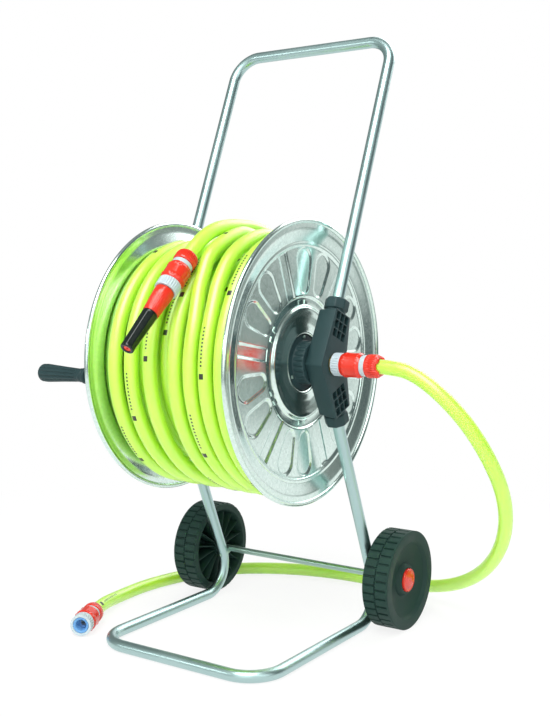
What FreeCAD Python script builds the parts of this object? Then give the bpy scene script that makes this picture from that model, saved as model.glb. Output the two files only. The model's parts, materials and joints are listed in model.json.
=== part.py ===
import FreeCAD, Part
import math
import os

V = FreeCAD.Vector

# Driving dimensions in millimetres and degrees.
# X runs along the drum axis, the crank is on the -X side, -Y is the front.

# Frame tubes
tube_dia = 17.0
tube_wall = 1.5
leg_span = 285.0  # between the middles of the two legs
hub_height = 410.0
lean = 22.8  # handle and legs both lean back from the hub by this
handle_reach = 513.0  # hub axis to the middle of the handle's top bar
handle_bend = 40.0
foot_bend = 45.0
front_bend = 50.0
front_reach = 158.0  # hub axis forward to the front bar

# Side brackets and their clamp collars
bracket_thick = 32.0
bracket_reach = 74.0  # hub axis to the end of each arm
bracket_width = 33.0  # across an arm's end, on the drum's side
bracket_flare = 8.0  # the outer face reaches further to the front
bracket_nose = 25.0  # in front of the hub axis
bracket_waist = 33.0  # behind the hub axis
socket_start = 30.0  # hub axis to the tube's end inside an arm
pocket_cell = 10.0
pocket_long = 11.0
pocket_rib = 1.6
pocket_deep = 5.0
pocket_rows = 3
collar_flats = 32.5
collar_long = 21.0

# Wheels and axle
wheel_dia = 148.0
wheel_wide = 42.6
wheel_clear = 4.7  # leg tube to the wheel's rim
hub_proud = 2.2  # wheel hub beyond the rim, towards the leg
lug_count = 36
lug_high = 4.0
rib_count = 8
cap_dia = 35.0
axle_dia = 10.0
axle_gap = 1.0  # leg tube to axle
run_gap = 0.05  # radial play of a turning fit
seat_gap = 0.3  # play between faces that slide past each other
saddle_wide = 13.0
saddle_half = 4.5
rivet_dia = 4.0
rivet_grip = 3.0  # depth in the axle
rivet_head = 6.8

# Drum
disc_dia = 400.0
web_x = 110.0  # outer face of the flat web from the middle of the drum
sheet = 1.2
bead_dia = 7.2
rim_flare = 7.8
flare_start = 163.0  # radius where the web turns into the flared rim
groove_deep = 3.0
groove_count = 18
channel_step = 3  # every third groove is a straight channel
groove_first = 20.0
channel_wide = 17.0
groove_out = 160.0  # outer radius of the grooves
petal_in = 97.0
petal_wide_in = 23.0
petal_wide_out = 35.0
ring_in = 80.0  # ring groove that holds the core's tabs
ring_out = 91.0
boss_out = 76.0
boss_in = 40.0
boss_deep = 6.0
core_dia = 166.4
tab_pairs = 6
tab_wide = 7.0
tab_spread = 5.0
tab_foot = 5.5
hub_flange_dia = 78.0
hub_flange_thick = 4.0
hub_boss_dia = 60.0
hub_spigot_dia = 61.6
hub_spigot_long = 17.0
hub_gap = 0.4  # hub face to bracket
screw_circle = 71.0
screw_count = 3
screw_dia = 3.0

# Water inlet
spindle_dia = 22.0
spindle_bore = 11.0
spindle_end = 70.0
spindle_flange = 30.0
spindle_flange_thick = 1.8
nipple_dia = 16.0
nipple_long = 14.0
seal_wire = 3.2
seal_step = 6.0
elbow_dia = 34.0
elbow_long = 33.0
elbow_wall = 3.0  # closed end of the elbow
neck_long = 21.0
barb_reach = 60.0
clip_thick = 1.2
clip_wide = 9.0
clip_reach = 45.0

# Crank
crank_reach = 150.0
crank_drop = 8.0  # the arm points forward and this far down
crank_gap = 2.8  # bracket to arm
arm_thick = 6.0
arm_wide_hub = 30.0
arm_wide_grip = 24.0
shaft_dia = 16.0
shaft_square = 11.0
stud_dia = 8.0
nut_flats = 13.0
nut_thick = 6.5
bush_dia = 24.0
cross_pin_dia = 5.0
grip_long = 84.0
grip_dia_arm = 20.0
grip_dia_end = 27.0
grip_pin_dia = 8.0
pin_head_dia = 14.0
pin_head_thick = 3.0

# Hose and its quick connectors
hose_dia = 20.0
hose_bore = 12.5
rim_over_left = 26.0  # edge of the left disc above the winding on top
rim_over_right = 21.0
wound_hang = 13.0  # the turns hang this far off the core below the drum
wound_turns = 6.4
wound_shares = (0.017, 0.175, 0.353, 0.579, 0.72, 0.854, 0.988)  # where each turn lies across the front
wound_start = 95.0  # angle about the drum axis, 0 at the back and 90 on top
tail_sweep = 211.0  # last stretch, which climbs onto the winding
tail_climb = 90.0
tail_cross = 95.0  # angle after which the tail crosses the winding
tail_level = 190.0  # angle at which it has crossed
tail_lift = 22.5
tail_top_x = 7.0
ramp_sweep = 40.0
nozzle_angle = 133.5
nozzle_tilt = 0.5
nozzle_x = 6.5
nozzle_ahead = 57.5  # connector face in front of the point nearest to the drum
nozzle_lift = 2.6  # winding to the connector's ring
barrel_dia = 35.0
ring_dia = 32.0
collar_ring_dia = 29.0
nut_dia = 32.4
core_body_dia = 24.0
core_step = 1.5
socket_dia = 16.2
socket_long = 15.0
insert_dia = 23.4
sleeve_travel = 4.0
barrel_wall = 1.4
ring_flutes = 40
nut_flutes = 16
long_joint = (13.0, 31.0, 7.0, 21.0)  # knurled ring, barrel, collar, nut
short_joint = (15.0, 28.5, 7.0, 18.0)
nozzle_long = 41.5
nozzle_dia_in = 27.6
nozzle_dia_out = 23.0
tip_long = 62.5
tip_dia_in = 22.4
tip_dia_out = 18.4
stem_dia = 10.0
nozzle_bore = 7.0

# Feed hose: corner points of its route from the inlet to the floor connector
floor_face = V(-188.0, -146.0, barrel_dia / 2)
floor_heading = V(0.44, -0.898, 0)
feed_corners = [
    V(255, 0, 410), V(286, -0.7, 400.4), V(321, -1, 377), V(351, 12, 341), V(370, 39, 294),
    V(375, 79, 241), V(361, 127, 184), V(329, 177, 128), V(280, 227, 78), V(216, 270, 40),
    V(139, 303, 18), V(52, 320, 10), V(-42, 317, 10), V(-130, 288, 10), V(-201, 237, 10),
    V(-238, 165, 10), V(-257, 84, 10), V(-253, 6, 10),
]
feed_last_run = 45.0

# Values worked out from the sizes above
tube_r = tube_dia / 2
hose_r = hose_dia / 2
leg_x = leg_span / 2
wheel_r = wheel_dia / 2
axle_r = axle_dia / 2
disc_r = disc_dia / 2
hub = V(0, 0, hub_height)
side = V(1, 0, 0)
sin_lean = math.sin(math.radians(lean))
cos_lean = math.cos(math.radians(lean))
up = V(0, sin_lean, cos_lean)
down = V(0, sin_lean, -cos_lean)
behind = V(0, cos_lean, sin_lean)  # square to a leg, towards the back
bracket_in = leg_x - bracket_thick / 2
bracket_out = leg_x + bracket_thick / 2
ring_floor_x = web_x - groove_deep
web_inner_x = web_x - groove_deep - sheet
boss_x = web_x + 1.0
hub_seat_x = boss_x - boss_deep
hub_face_x = bracket_in - hub_gap
wheel_in = leg_x + tube_r + wheel_clear
axle_lift = tube_r + axle_r + axle_gap
axle_y = (axle_lift + (hub_height - wheel_r) * sin_lean) / cos_lean
axle_at = V(0, axle_y, wheel_r)
nodes = {}


def unit(vector):
    return vector * (1.0 / vector.Length)


def put(shape, at, along):
    moved = shape.copy()
    moved.Placement = FreeCAD.Placement(at, FreeCAD.Rotation(V(0, 0, 1), along)).multiply(moved.Placement)
    return moved


# Solid turned from (place along the axis, radius) points
def turned(profile, at=V(0, 0, 0), along=V(0, 0, 1)):
    points = [V(radius, 0, place) for place, radius in profile]
    face = Part.Face(Part.makePolygon(points + points[:1]))
    return put(face.revolve(V(0, 0, 0), V(0, 0, 1), 360), at, along)


def rod(start, end, radius):
    return Part.makeCylinder(radius, (end - start).Length, start, end - start)


# Prism with lugs or flutes round it, along Z
def lugged(count, crest, root, share, start, end, turn=0.0):
    step = 360.0 / count
    points = []
    for number in range(count):
        middle = number * step + turn
        for offset, radius in ((-0.62, root), (-0.5, crest), (0.5, crest), (0.62, root)):
            angle = math.radians(middle + 2 * offset * share * step / 2)
            points.append(V(radius * math.cos(angle), radius * math.sin(angle), start))
    face = Part.Face(Part.makePolygon(points + points[:1]))
    return face.extrude(V(0, 0, end - start))


def prism(sides, across_flats, start, end):
    radius = across_flats / 2 / math.cos(math.pi / sides)
    points = []
    for number in range(sides):
        angle = 2 * math.pi * (number + 0.5) / sides
        points.append(V(radius * math.cos(angle), radius * math.sin(angle), start))
    face = Part.Face(Part.makePolygon(points + points[:1]))
    return face.extrude(V(0, 0, end - start))


# Outline of two circles and their common tangents
def slot(middle, along, across, near, near_r, far, far_r):
    slope = math.asin((far_r - near_r) / (far - near))
    spot = lambda reach, radius, way: (middle + along * (reach - radius * math.sin(slope))
                                       + across * (way * radius * math.cos(slope)))
    near_left, near_right = spot(near, near_r, -1), spot(near, near_r, 1)
    far_left, far_right = spot(far, far_r, -1), spot(far, far_r, 1)
    return Part.Wire([
        Part.Arc(near_right, middle + along * (near - near_r), near_left).toShape(),
        Part.LineSegment(near_left, far_left).toShape(),
        Part.Arc(far_left, middle + along * (far + far_r), far_right).toShape(),
        Part.LineSegment(far_right, near_right).toShape(),
    ])


# Straight runs joined by tangent arcs
def rounded(points, radii):
    edges = []
    last = points[0]
    for before, corner, after, radius in zip(points, points[1:], points[2:], radii):
        come = unit(corner - before)
        go = unit(after - corner)
        half = come.getAngle(go) / 2
        start = corner - come * (radius * math.tan(half))
        end = corner + go * (radius * math.tan(half))
        middle = corner + unit(go - come) * (radius / math.cos(half) - radius)
        edges.append(Part.LineSegment(last, start).toShape())
        edges.append(Part.Arc(start, middle, end).toShape())
        last = end
    edges.append(Part.LineSegment(last, points[-1]).toShape())
    return edges


def pipe(edges, radius):
    first = edges[0]
    start = first.valueAt(first.FirstParameter)
    heading = first.tangentAt(first.FirstParameter)
    section = Part.Wire([Part.makeCircle(radius, start, heading)])
    return Part.Wire(edges).makePipeShell([section], True, False)


def arc_leaving(start, heading, end):
    chord = end - start
    along = unit(chord)
    bulge = heading - along * heading.dot(along)
    rise = chord.Length / 2 * math.tan(heading.getAngle(chord) / 2)
    if bulge.Length < 1e-6:
        return Part.LineSegment(start, end).toShape()
    return Part.Arc(start, start + chord * 0.5 + unit(bulge) * rise, end).toShape()


# Two tangent arcs between two points with given headings
def biarc(start, go, end, come):
    chord = end - start
    reach = chord.dot(go + come)
    spread = 2 * (1 - go.dot(come))
    if spread < 1e-9:
        pull = chord.dot(chord) / (4 * chord.dot(come))
    else:
        pull = (-reach + math.sqrt(reach * reach + spread * chord.dot(chord))) / spread
    knot = (start + end + (go - come) * pull) * 0.5
    return [arc_leaving(start, go, knot), turn_round(arc_leaving(end, come * -1.0, knot))]


def turn_round(edge):
    start = edge.valueAt(edge.LastParameter)
    end = edge.valueAt(edge.FirstParameter)
    middle = edge.valueAt((edge.FirstParameter + edge.LastParameter) / 2)
    if abs((middle - start).Length + (end - middle).Length - (end - start).Length) < 1e-7:
        return Part.LineSegment(start, end).toShape()
    return Part.Arc(start, middle, end).toShape()


def mirrored(shape):
    return shape.mirror(V(0, 0, 0), side)


def plate(points, depth):
    return Part.Face(Part.makePolygon(points + points[:1])).extrude(depth)


# Turned about the drum axis from (x, radius) points
def on_hub(profile):
    return turned(profile, hub, side)


# Frame tubes
left = V(-leg_x, 0, 0)
right = V(leg_x, 0, 0)
handle_path = rounded([
    hub + left + up * socket_start, hub + left + up * handle_reach,
    hub + right + up * handle_reach, hub + right + up * socket_start,
], [handle_bend] * 2)
heel_y = (hub_height - tube_r) / cos_lean * sin_lean
foot_path = rounded([
    hub + left + down * socket_start, V(-leg_x, heel_y, tube_r), V(-leg_x, -front_reach, tube_r),
    V(leg_x, -front_reach, tube_r), V(leg_x, heel_y, tube_r), hub + right + down * socket_start,
], [foot_bend, front_bend, front_bend, foot_bend])
foot_outer = pipe(foot_path, tube_r)
foot_tube = foot_outer.cut(pipe(foot_path, tube_r - tube_wall))
nodes["handle_tube"] = pipe(handle_path, tube_r).cut(pipe(handle_path, tube_r - tube_wall))

# Side brackets, each with two tube sockets, a hub bore and a ribbed outer face
above = V(0, cos_lean, -sin_lean)
arms = ((up, above), (down, behind))


def bracket(way, bore):
    half = bracket_width / 2
    inner = hub + side * (way * bracket_in)
    outer = hub + side * (way * bracket_out)
    outlines = []
    for face, flare in ((inner, 0), (outer, bracket_flare)):
        tip = up * bracket_reach - above * half
        edge = tip + V(0, bracket_nose, 0)
        flared = tip - above * flare
        nose = flared - edge * (flared.z / edge.z)
        corners = [
            face + nose, face + flared, face + up * bracket_reach + above * half,
            face + V(0, bracket_waist, 0),
            face + down * bracket_reach + behind * half,
            face + down * bracket_reach - behind * (half + flare),
        ]
        outlines.append(Part.makePolygon(corners + corners[:1]))
    body = Part.makeLoft(outlines, True, True)
    cuts = [rod(inner - side * way, outer + side * way, bore)]
    for along, across in arms:
        foot = hub + side * (way * leg_x)
        cuts.append(rod(foot + along * socket_start, foot + along * (bracket_reach + 1), tube_r + run_gap))
        for row in range(pocket_rows):
            far = bracket_reach - pocket_rib * 1.4 - row * (pocket_long + pocket_rib)
            for column in (-1, 0, 1):
                middle = column * (pocket_cell + pocket_rib) - bracket_flare / 2
                corner = lambda reach, off: outer + along * reach + across * (middle + off)
                cell = [
                    corner(far, -pocket_cell / 2), corner(far, pocket_cell / 2),
                    corner(far - pocket_long, pocket_cell / 2), corner(far - pocket_long, -pocket_cell / 2),
                ]
                cuts.append(plate(cell, side * (-way * pocket_deep)))
    return body.cut(Part.makeCompound(cuts))


spindle_r = spindle_dia / 2
bush_r = bush_dia / 2
shaft_r = shaft_dia / 2
nodes["bracket_right"] = bracket(1, spindle_r + run_gap)
nodes["bracket_left"] = bracket(-1, bush_r + run_gap)
for side_name, way in (("left", -1), ("right", 1)):
    for arm_name, along in (("upper", up), ("lower", down)):
        collar = prism(8, collar_flats, 0, collar_long)
        collar = collar.cut(Part.makeCylinder(tube_r + run_gap, collar_long))
        spot = hub + side * (way * leg_x) + along * bracket_reach
        nodes["collar_%s_%s" % (arm_name, side_name)] = put(collar, spot, along)
nodes["bearing_bush"] = mirrored(on_hub([
    (bracket_in, shaft_r + run_gap), (bracket_in, bush_r), (bracket_out, bush_r),
    (bracket_out, bush_r + 3), (bracket_out + 1.5, bush_r + 3), (bracket_out + 1.5, shaft_r + run_gap),
]))

# Axle behind the legs, in a saddle on each leg and held by a rivet through the leg
axle_end = wheel_in + wheel_wide - 3.2
axle = rod(axle_at - side * axle_end, axle_at + side * axle_end, axle_r)
rivet_list = []
for side_name, way in (("left", -1), ("right", 1)):
    line = axle_at + side * (way * leg_x)
    corner = lambda back, drop: line - side * (saddle_wide / 2) + behind * back + down * drop
    block = plate([
        corner(-axle_lift, -saddle_half), corner(0, -saddle_half), corner(0, saddle_half),
        corner(-axle_lift, saddle_half),
    ], side * saddle_wide)
    block = block.cut(foot_outer).cut(rod(axle_at - side * 500, axle_at + side * 500, axle_r + run_gap))
    block = max(block.Solids, key=lambda solid: solid.Volume)
    tail_end = line + behind * (rivet_grip - axle_r)
    probe = Part.LineSegment(line - behind * 80, tail_end).toShape()
    inside = probe.common(foot_outer).Vertexes
    entry = min((vertex.Point for vertex in inside), key=lambda point: point.dot(behind))
    head_r = rivet_head / 2
    head = turned([(0, 0), (0, head_r), (0.7, head_r * 0.92), (1.3, head_r * 0.6), (1.5, 0)], entry,
        behind * -1)
    rivet_list.append(rod(entry, tail_end, rivet_dia / 2).fuse(head.cut(foot_outer)))
    hole = rod(entry - behind * 5, tail_end, rivet_dia / 2 + run_gap)
    foot_tube = foot_tube.cut(hole)
    axle = axle.cut(hole)
    nodes["axle_holder_" + side_name] = block.cut(hole)
nodes["axle"] = axle
nodes["foot_tube"] = foot_tube
nodes["holder_rivets"] = Part.makeCompound(rivet_list)

# Wheels with two rows of tread lugs, ribs inside and a cap outside
rim_r = wheel_r - lug_high
cap_r = cap_dia / 2
cap_seat = wheel_wide - 6.6
bore_r = axle_r + run_gap
wheel = turned([
    (-hub_proud, bore_r), (-hub_proud, 14), (wheel_wide * 0.62, 14), (wheel_wide * 0.66, rim_r - 13),
    (0, rim_r - 9), (0, rim_r - 3), (2.5, rim_r), (wheel_wide - 2.5, rim_r), (wheel_wide, rim_r - 3),
    (wheel_wide, rim_r - 12), (wheel_wide - 6, rim_r - 18), (wheel_wide - 8.5, cap_r + 8),
    (wheel_wide - 3, cap_r + 6), (wheel_wide - 3, cap_r + run_gap), (cap_seat, cap_r + run_gap),
    (cap_seat, bore_r),
])
extras = []
for number in range(rib_count):
    rib = Part.makeBox(rim_r - 8 - 13, 2.4, wheel_wide * 0.64 - 3, V(13, -1.2, 3))
    rib.rotate(V(0, 0, 0), V(0, 0, 1), 360.0 * number / rib_count)
    extras.append(rib)
half_step = 180.0 / lug_count
for start, end, turn in ((3, wheel_wide / 2 - 1.5, 0.0), (wheel_wide / 2 + 1.5, wheel_wide - 3, half_step)):
    row = lugged(lug_count, wheel_r, rim_r - 1, 0.55, start, end, turn)
    extras.append(row.cut(Part.makeCylinder(rim_r - 4, wheel_wide)))
wheel = wheel.multiFuse(extras)
cap = turned([
    (cap_seat, 11.5), (cap_seat, cap_r), (cap_seat + 4.6, cap_r), (cap_seat + 6.2, cap_r - 2.5),
    (cap_seat + 7, 8), (cap_seat + 7.2, 0), (cap_seat + 5.4, 0), (cap_seat + 5, 8), (cap_seat + 4.4, 11.5),
])
clip = turned([
    (cap_seat + seat_gap, axle_r + run_gap), (cap_seat + seat_gap, 9.5),
    (cap_seat + seat_gap + 1.5, 9.5), (cap_seat + seat_gap + 1.5, axle_r + run_gap),
])
for side_name, way in (("left", -1), ("right", 1)):
    spot = axle_at + side * (way * wheel_in)
    nodes["wheel_" + side_name] = put(wheel, spot, side * way)
    nodes["wheel_cap_" + side_name] = put(cap, spot, side * way)
nodes["axle_clips"] = Part.makeCompound([
    put(clip, axle_at + side * (way * wheel_in), side * way) for way in (-1, 1)])

# Drum discs, pressed sheet with a rolled bead
outer_line = [
    (hub_spigot_dia / 2 + 0.2, hub_seat_x), (boss_in, hub_seat_x), (boss_out - 2, boss_x),
    (boss_out + 1, boss_x),
    (ring_in, ring_floor_x), (ring_out, ring_floor_x), (ring_out + 2, web_x), (flare_start, web_x),
    (flare_start + 3, web_x + 1), (disc_r - 14, web_x + 6.5), (disc_r - 6.5, web_x + rim_flare),
]
profile = [(x, radius) for radius, x in outer_line]
profile += [(x - sheet, radius) for radius, x in reversed(outer_line)]
bead_r = bead_dia / 2
disc = on_hub(profile)
bead = Part.makeTorus(disc_r - bead_r, bead_r, hub + side * (web_x + rim_flare - sheet / 2), side)
pads = []
pockets = []
rise = V(0, 0, 1)
across = V(0, 1, 0)
for number in range(groove_count):
    angle = groove_first + 360.0 * number / groove_count
    for trim, start_x, depth, store in (
            (0.0, web_inner_x, groove_deep + sheet * 0.5, pads),
            (sheet, ring_floor_x, groove_deep + 1, pockets)):
        middle = hub + side * start_x
        if number % channel_step == 0:
            half = channel_wide / 2
            near = ring_out + 2 if store is pads else ring_out
            outline = slot(middle, rise, across, near, half - trim, groove_out - half, half - trim)
        else:
            in_r = petal_wide_in / 2
            out_r = petal_wide_out / 2
            outline = slot(middle, rise, across, petal_in + in_r, in_r - trim, groove_out - out_r,
                out_r - trim)
        pressed = Part.Face(outline).extrude(side * depth)
        pressed.rotate(hub, side, angle)
        store.append(pressed)
core_r = core_dia / 2
slots = []
tabs = []
for number in range(tab_pairs):
    for swing in (-tab_spread, tab_spread):
        angle = 360.0 * number / tab_pairs + swing
        opening = Part.makeBox(groove_deep + sheet + 2, tab_wide + 0.6, sheet + 0.4,
                               hub + V(web_inner_x - 1, -tab_wide / 2 - 0.3, core_r - sheet - 0.2))
        stem = Part.makeBox(ring_floor_x + sheet - web_inner_x + 1, tab_wide, sheet,
                            hub + V(web_inner_x - 1, -tab_wide / 2, core_r - sheet))
        bent = Part.makeBox(sheet, tab_wide, tab_foot, hub + V(ring_floor_x, -tab_wide / 2, core_r - sheet))
        tab = stem.fuse(bent)
        for piece, store in ((opening, slots), (tab, tabs)):
            piece.rotate(hub, side, angle)
            store.append(piece)
screw_r = screw_dia / 2
screws = []
for number in range(screw_count):
    angle = math.radians(90 + 360.0 * number / screw_count)
    spot = hub + V(0, screw_circle / 2 * math.cos(angle), screw_circle / 2 * math.sin(angle))
    screw = turned([
        (hub_seat_x - sheet - 2, 0), (hub_seat_x - sheet - 2, 2.75), (hub_seat_x - sheet, 2.75),
        (hub_seat_x - sheet, screw_r), (hub_seat_x + hub_flange_thick, screw_r),
        (hub_seat_x + hub_flange_thick, 2.75), (hub_seat_x + hub_flange_thick + 1.2, 2.75),
        (hub_seat_x + hub_flange_thick + 2, 1.6), (hub_seat_x + hub_flange_thick + 2, 0),
    ], spot, side)
    screws.append(screw)
screw_holes = Part.makeCompound([
    rod(screw.BoundBox.Center - side * 40, screw.BoundBox.Center + side * 40, screw_r + run_gap)
    for screw in screws])
disc = disc.multiFuse([bead] + pads).cut(Part.makeCompound(pockets))
disc = disc.cut(Part.makeCompound(slots)).cut(screw_holes)
nodes["disc_right"] = disc
nodes["disc_left"] = mirrored(disc)


# Hubs
def drum_hub(bore):
    shape = on_hub([
        (hub_seat_x - hub_spigot_long, bore), (hub_seat_x - hub_spigot_long, hub_spigot_dia / 2),
        (hub_seat_x, hub_spigot_dia / 2), (hub_seat_x, hub_flange_dia / 2),
        (hub_seat_x + hub_flange_thick, hub_flange_dia / 2),
        (hub_seat_x + hub_flange_thick, hub_boss_dia / 2),
        (hub_face_x - 1.5, hub_boss_dia / 2), (hub_face_x, hub_boss_dia / 2 - 1.5), (hub_face_x, bore),
    ])
    return shape.cut(screw_holes)


pin_x = hub_seat_x - hub_spigot_long / 2
pin_r = cross_pin_dia / 2
pin_half = hub_spigot_dia / 2 - 1.5
pin_hole = rod(hub + V(-pin_x, 0, -pin_half - 5), hub + V(-pin_x, 0, pin_half + 5), pin_r + run_gap)
nodes["hub_right"] = drum_hub(spindle_r + run_gap)
nodes["hub_left"] = mirrored(drum_hub(shaft_r + run_gap)).cut(pin_hole)
nodes["hub_screws"] = Part.makeCompound(screws + [mirrored(screw) for screw in screws])
nodes["cross_pin"] = rod(hub + V(-pin_x, 0, -pin_half), hub + V(-pin_x, 0, pin_half), pin_r)

# Water path: fixed spindle, seals, turning elbow, lead to the winding
seal_r = seal_wire / 2
groove_r = spindle_r - seal_wire
seal_places = [spindle_end + seal_step, spindle_end + 2 * seal_step]
profile = [(spindle_end, spindle_bore / 2), (spindle_end, spindle_r)]
for place in seal_places:
    profile += [(place - seal_r - 0.1, spindle_r), (place - seal_r - 0.1, groove_r),
                (place + seal_r + 0.1, groove_r), (place + seal_r + 0.1, spindle_r)]
nipple_x = bracket_out + spindle_flange_thick
profile += [
    (bracket_out, spindle_r), (bracket_out, spindle_flange / 2), (nipple_x, spindle_flange / 2),
    (nipple_x, nipple_dia / 2), (nipple_x + nipple_long, nipple_dia / 2),
    (nipple_x + nipple_long, spindle_bore / 2),
]
nodes["inlet_spindle"] = on_hub(profile)
nodes["spindle_seals"] = Part.makeCompound([
    Part.makeTorus(groove_r + seal_r, seal_r, hub + side * place, side) for place in seal_places])
elbow_x = hub_seat_x - hub_spigot_long
neck_r = hose_r - 1
lead_x = elbow_x - elbow_long + elbow_wall + neck_r
elbow_r = elbow_dia / 2
neck_end = elbow_r + neck_long
elbow = on_hub([(elbow_x - elbow_long, 0), (elbow_x - elbow_long, elbow_r), (elbow_x, elbow_r), (elbow_x, 0)])
lead_foot = hub + side * lead_x
elbow = elbow.multiFuse([
    rod(lead_foot, lead_foot - rise * neck_end, neck_r),
    rod(lead_foot, lead_foot - rise * barb_reach, hose_bore / 2 - run_gap),
])
elbow = elbow.cut(on_hub([
    (elbow_x - elbow_long + elbow_wall, 0), (elbow_x - elbow_long + elbow_wall, 6), (spindle_end - 0.5, 6),
    (spindle_end - 0.5, spindle_r + run_gap), (elbow_x + 1, spindle_r + run_gap), (elbow_x + 1, 0),
]))
nodes["water_elbow"] = elbow.cut(rod(lead_foot, lead_foot - rise * (barb_reach + 1), hose_bore / 2 - 1.75))
lead = rod(lead_foot - rise * neck_end, lead_foot - rise * core_r, hose_r)
nodes["hose_lead"] = lead.cut(rod(lead_foot, lead_foot - rise * (core_r + 1), hose_bore / 2))
grip_ring = rod(lead_foot - rise * clip_reach, lead_foot - rise * (clip_reach + clip_wide),
    hose_r + clip_thick)
nodes["hose_clamp"] = grip_ring.cut(rod(lead_foot, lead_foot - rise * core_r, hose_r + run_gap))

# Core of the drum, a sheet tube with tabs bent over outside each disc
core = on_hub([(-web_inner_x, core_r - sheet), (-web_inner_x, core_r), (web_inner_x, core_r),
    (web_inner_x, core_r - sheet)])
core = core.multiFuse(tabs + [mirrored(tab) for tab in tabs])
nodes["drum_core"] = core.cut(rod(lead_foot - rise * (core_r - 8), lead_foot - rise * (core_r + 8),
    hose_r + 0.5))

# Crank with its turning grip
arm_x = bracket_out + crank_gap
stud_x = arm_x + arm_thick
reach_way = V(0, -math.cos(math.radians(crank_drop)), -math.sin(math.radians(crank_drop)))
reach_side = V(0, reach_way.z, -reach_way.y)
shaft = on_hub([
    (hub_seat_x - hub_spigot_long - 8, 0), (hub_seat_x - hub_spigot_long - 8, shaft_r), (arm_x, shaft_r),
    (arm_x, 0)])


def squared(flats, start, end):
    shape = put(prism(4, flats, start, end), hub, side)
    shape.rotate(hub, side, crank_drop)
    return shape


shaft = shaft.multiFuse([
    squared(shaft_square, arm_x - 2, stud_x - 0.5),
    rod(hub + side * arm_x, hub + side * (stud_x + nut_thick + 2), stud_dia / 2),
])
nodes["crank_spindle"] = mirrored(shaft).cut(pin_hole)
grip_at = hub + reach_way * crank_reach
pin_r = grip_pin_dia / 2
arm = Part.Face(slot(hub + side * arm_x, reach_way, reach_side, 0, arm_wide_hub / 2, crank_reach,
    arm_wide_grip / 2))
arm = arm.extrude(side * arm_thick).cut(squared(shaft_square + 2 * run_gap, arm_x - 1, stud_x + 1))
arm = arm.cut(rod(grip_at, grip_at + side * (stud_x + 1), pin_r + run_gap))
nodes["crank_arm"] = mirrored(arm)
crank_nut = put(prism(6, nut_flats, stud_x, stud_x + nut_thick), hub, side)
nodes["crank_nut"] = mirrored(crank_nut.cut(rod(hub, hub + side * 400, stud_dia / 2 + run_gap)))
grip_x = stud_x + 1.5
grip_r = grip_dia_end / 2
head_seat = grip_long - 5
nodes["crank_grip"] = mirrored(turned([
    (0, pin_r + run_gap), (0, grip_dia_arm / 2 - 1), (1.5, grip_dia_arm / 2),
    (grip_long * 0.45, grip_r - 2.4),
    (grip_long * 0.86, grip_r), (grip_long - 3, grip_r - 0.6), (grip_long, grip_r - 3),
    (grip_long, pin_head_dia / 2 + 0.5), (head_seat, pin_head_dia / 2 + 0.5), (head_seat, pin_r + run_gap),
], grip_at + side * grip_x, side))
nodes["grip_pin"] = mirrored(turned([
    (-arm_thick - 1.5, 0), (-arm_thick - 1.5, pin_r), (-1.5, pin_r), (-1.5, pin_r + 2.5),
    (-seat_gap, pin_r + 2.5),
    (-seat_gap, pin_r), (head_seat + seat_gap, pin_r), (head_seat + seat_gap, pin_head_dia / 2),
    (head_seat + seat_gap + pin_head_thick, pin_head_dia / 2 - 1), (head_seat + seat_gap + pin_head_thick, 0),
], grip_at + side * grip_x, side))


# Quick connector: sliding sleeve with a knurled ring on a core, and a hose nut behind
def connector(name, at, along, sizes):
    ring_long, barrel_long, collar_gap, nut_long = sizes
    end = ring_long + barrel_long
    nut_at = end + collar_gap
    stop = nut_at + 3
    body_r = core_body_dia / 2
    flange_r = collar_ring_dia / 2
    recess_r = flange_r + seat_gap
    ring_r = ring_dia / 2
    slide_r = body_r + run_gap
    ring = lugged(ring_flutes, ring_r, ring_r - 0.6, 0.5, 0, ring_long)
    ring = ring.cut(Part.makeCylinder(slide_r, ring_long))
    barrel_r = barrel_dia / 2
    deep = sleeve_travel + 1.5
    sleeve = turned([
        (ring_long, slide_r), (ring_long, barrel_r - 1.6), (ring_long + 2.5, barrel_r - 0.7),
        (ring_long + barrel_long * 0.45, barrel_r), (end - 3, barrel_r - 0.7), (end, recess_r + barrel_wall),
        (end, recess_r), (end - deep, recess_r), (end - deep, slide_r),
    ])
    socket_r = socket_dia / 2
    bore = hose_bore / 2 - 1.75
    core = turned([
        (core_step, socket_r), (core_step, body_r), (end - 1.2, body_r), (end - 1.2, flange_r),
        (nut_at, flange_r),
        (nut_at, hose_r - 0.5), (stop, hose_r - 0.5), (stop, bore), (core_step + socket_long, bore),
        (core_step + socket_long, socket_r),
    ])
    nut_r = nut_dia / 2
    nut = lugged(nut_flutes, nut_r, nut_r - 1.1, 0.55, nut_at, nut_at + nut_long)
    nut = nut.cut(Part.makeCylinder(hose_r + run_gap * 4, nut_long + 20, V(0, 0, nut_at - 5)))
    for piece, shape in (("ring", ring), ("sleeve", sleeve), ("core", core), ("nut", nut)):
        nodes["%s_%s" % (name, piece)] = put(shape, at, along)
    return at + along * stop, at + along * (nut_at + nut_long)


inlet_at = hub + side * (nipple_x + 0.3)
feed_start, inlet_end = connector("inlet", inlet_at, side, long_joint)


# Winding: radius and place of the outer layer
pack_left = disc_dia / 2 - rim_over_left
pack_right = disc_dia / 2 - rim_over_right


def lay(x):
    half = web_inner_x
    return pack_left + (pack_right - pack_left) * (x + half) / (2 * half)


first_x = -web_inner_x + hose_r + 0.5
last_x = -first_x
climb = 360.0 * wound_turns


def ease(value):
    value = min(1.0, max(0.0, value))
    return value * value * (3 - 2 * value)


def share_at(turn):
    knots = [(0.0, 0.0)]
    knots += [(180.0 - wound_start + 360.0 * number, share) for number, share in enumerate(wound_shares)]
    knots.append((climb, 1.0))
    for (start, low), (end, high) in zip(knots, knots[1:]):
        if turn <= end:
            return low + (high - low) * (turn - start) / (end - start)
    return 1.0


def hang_at(angle):
    return wound_hang * ((1 - math.sin(angle)) / 2) ** 2


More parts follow.
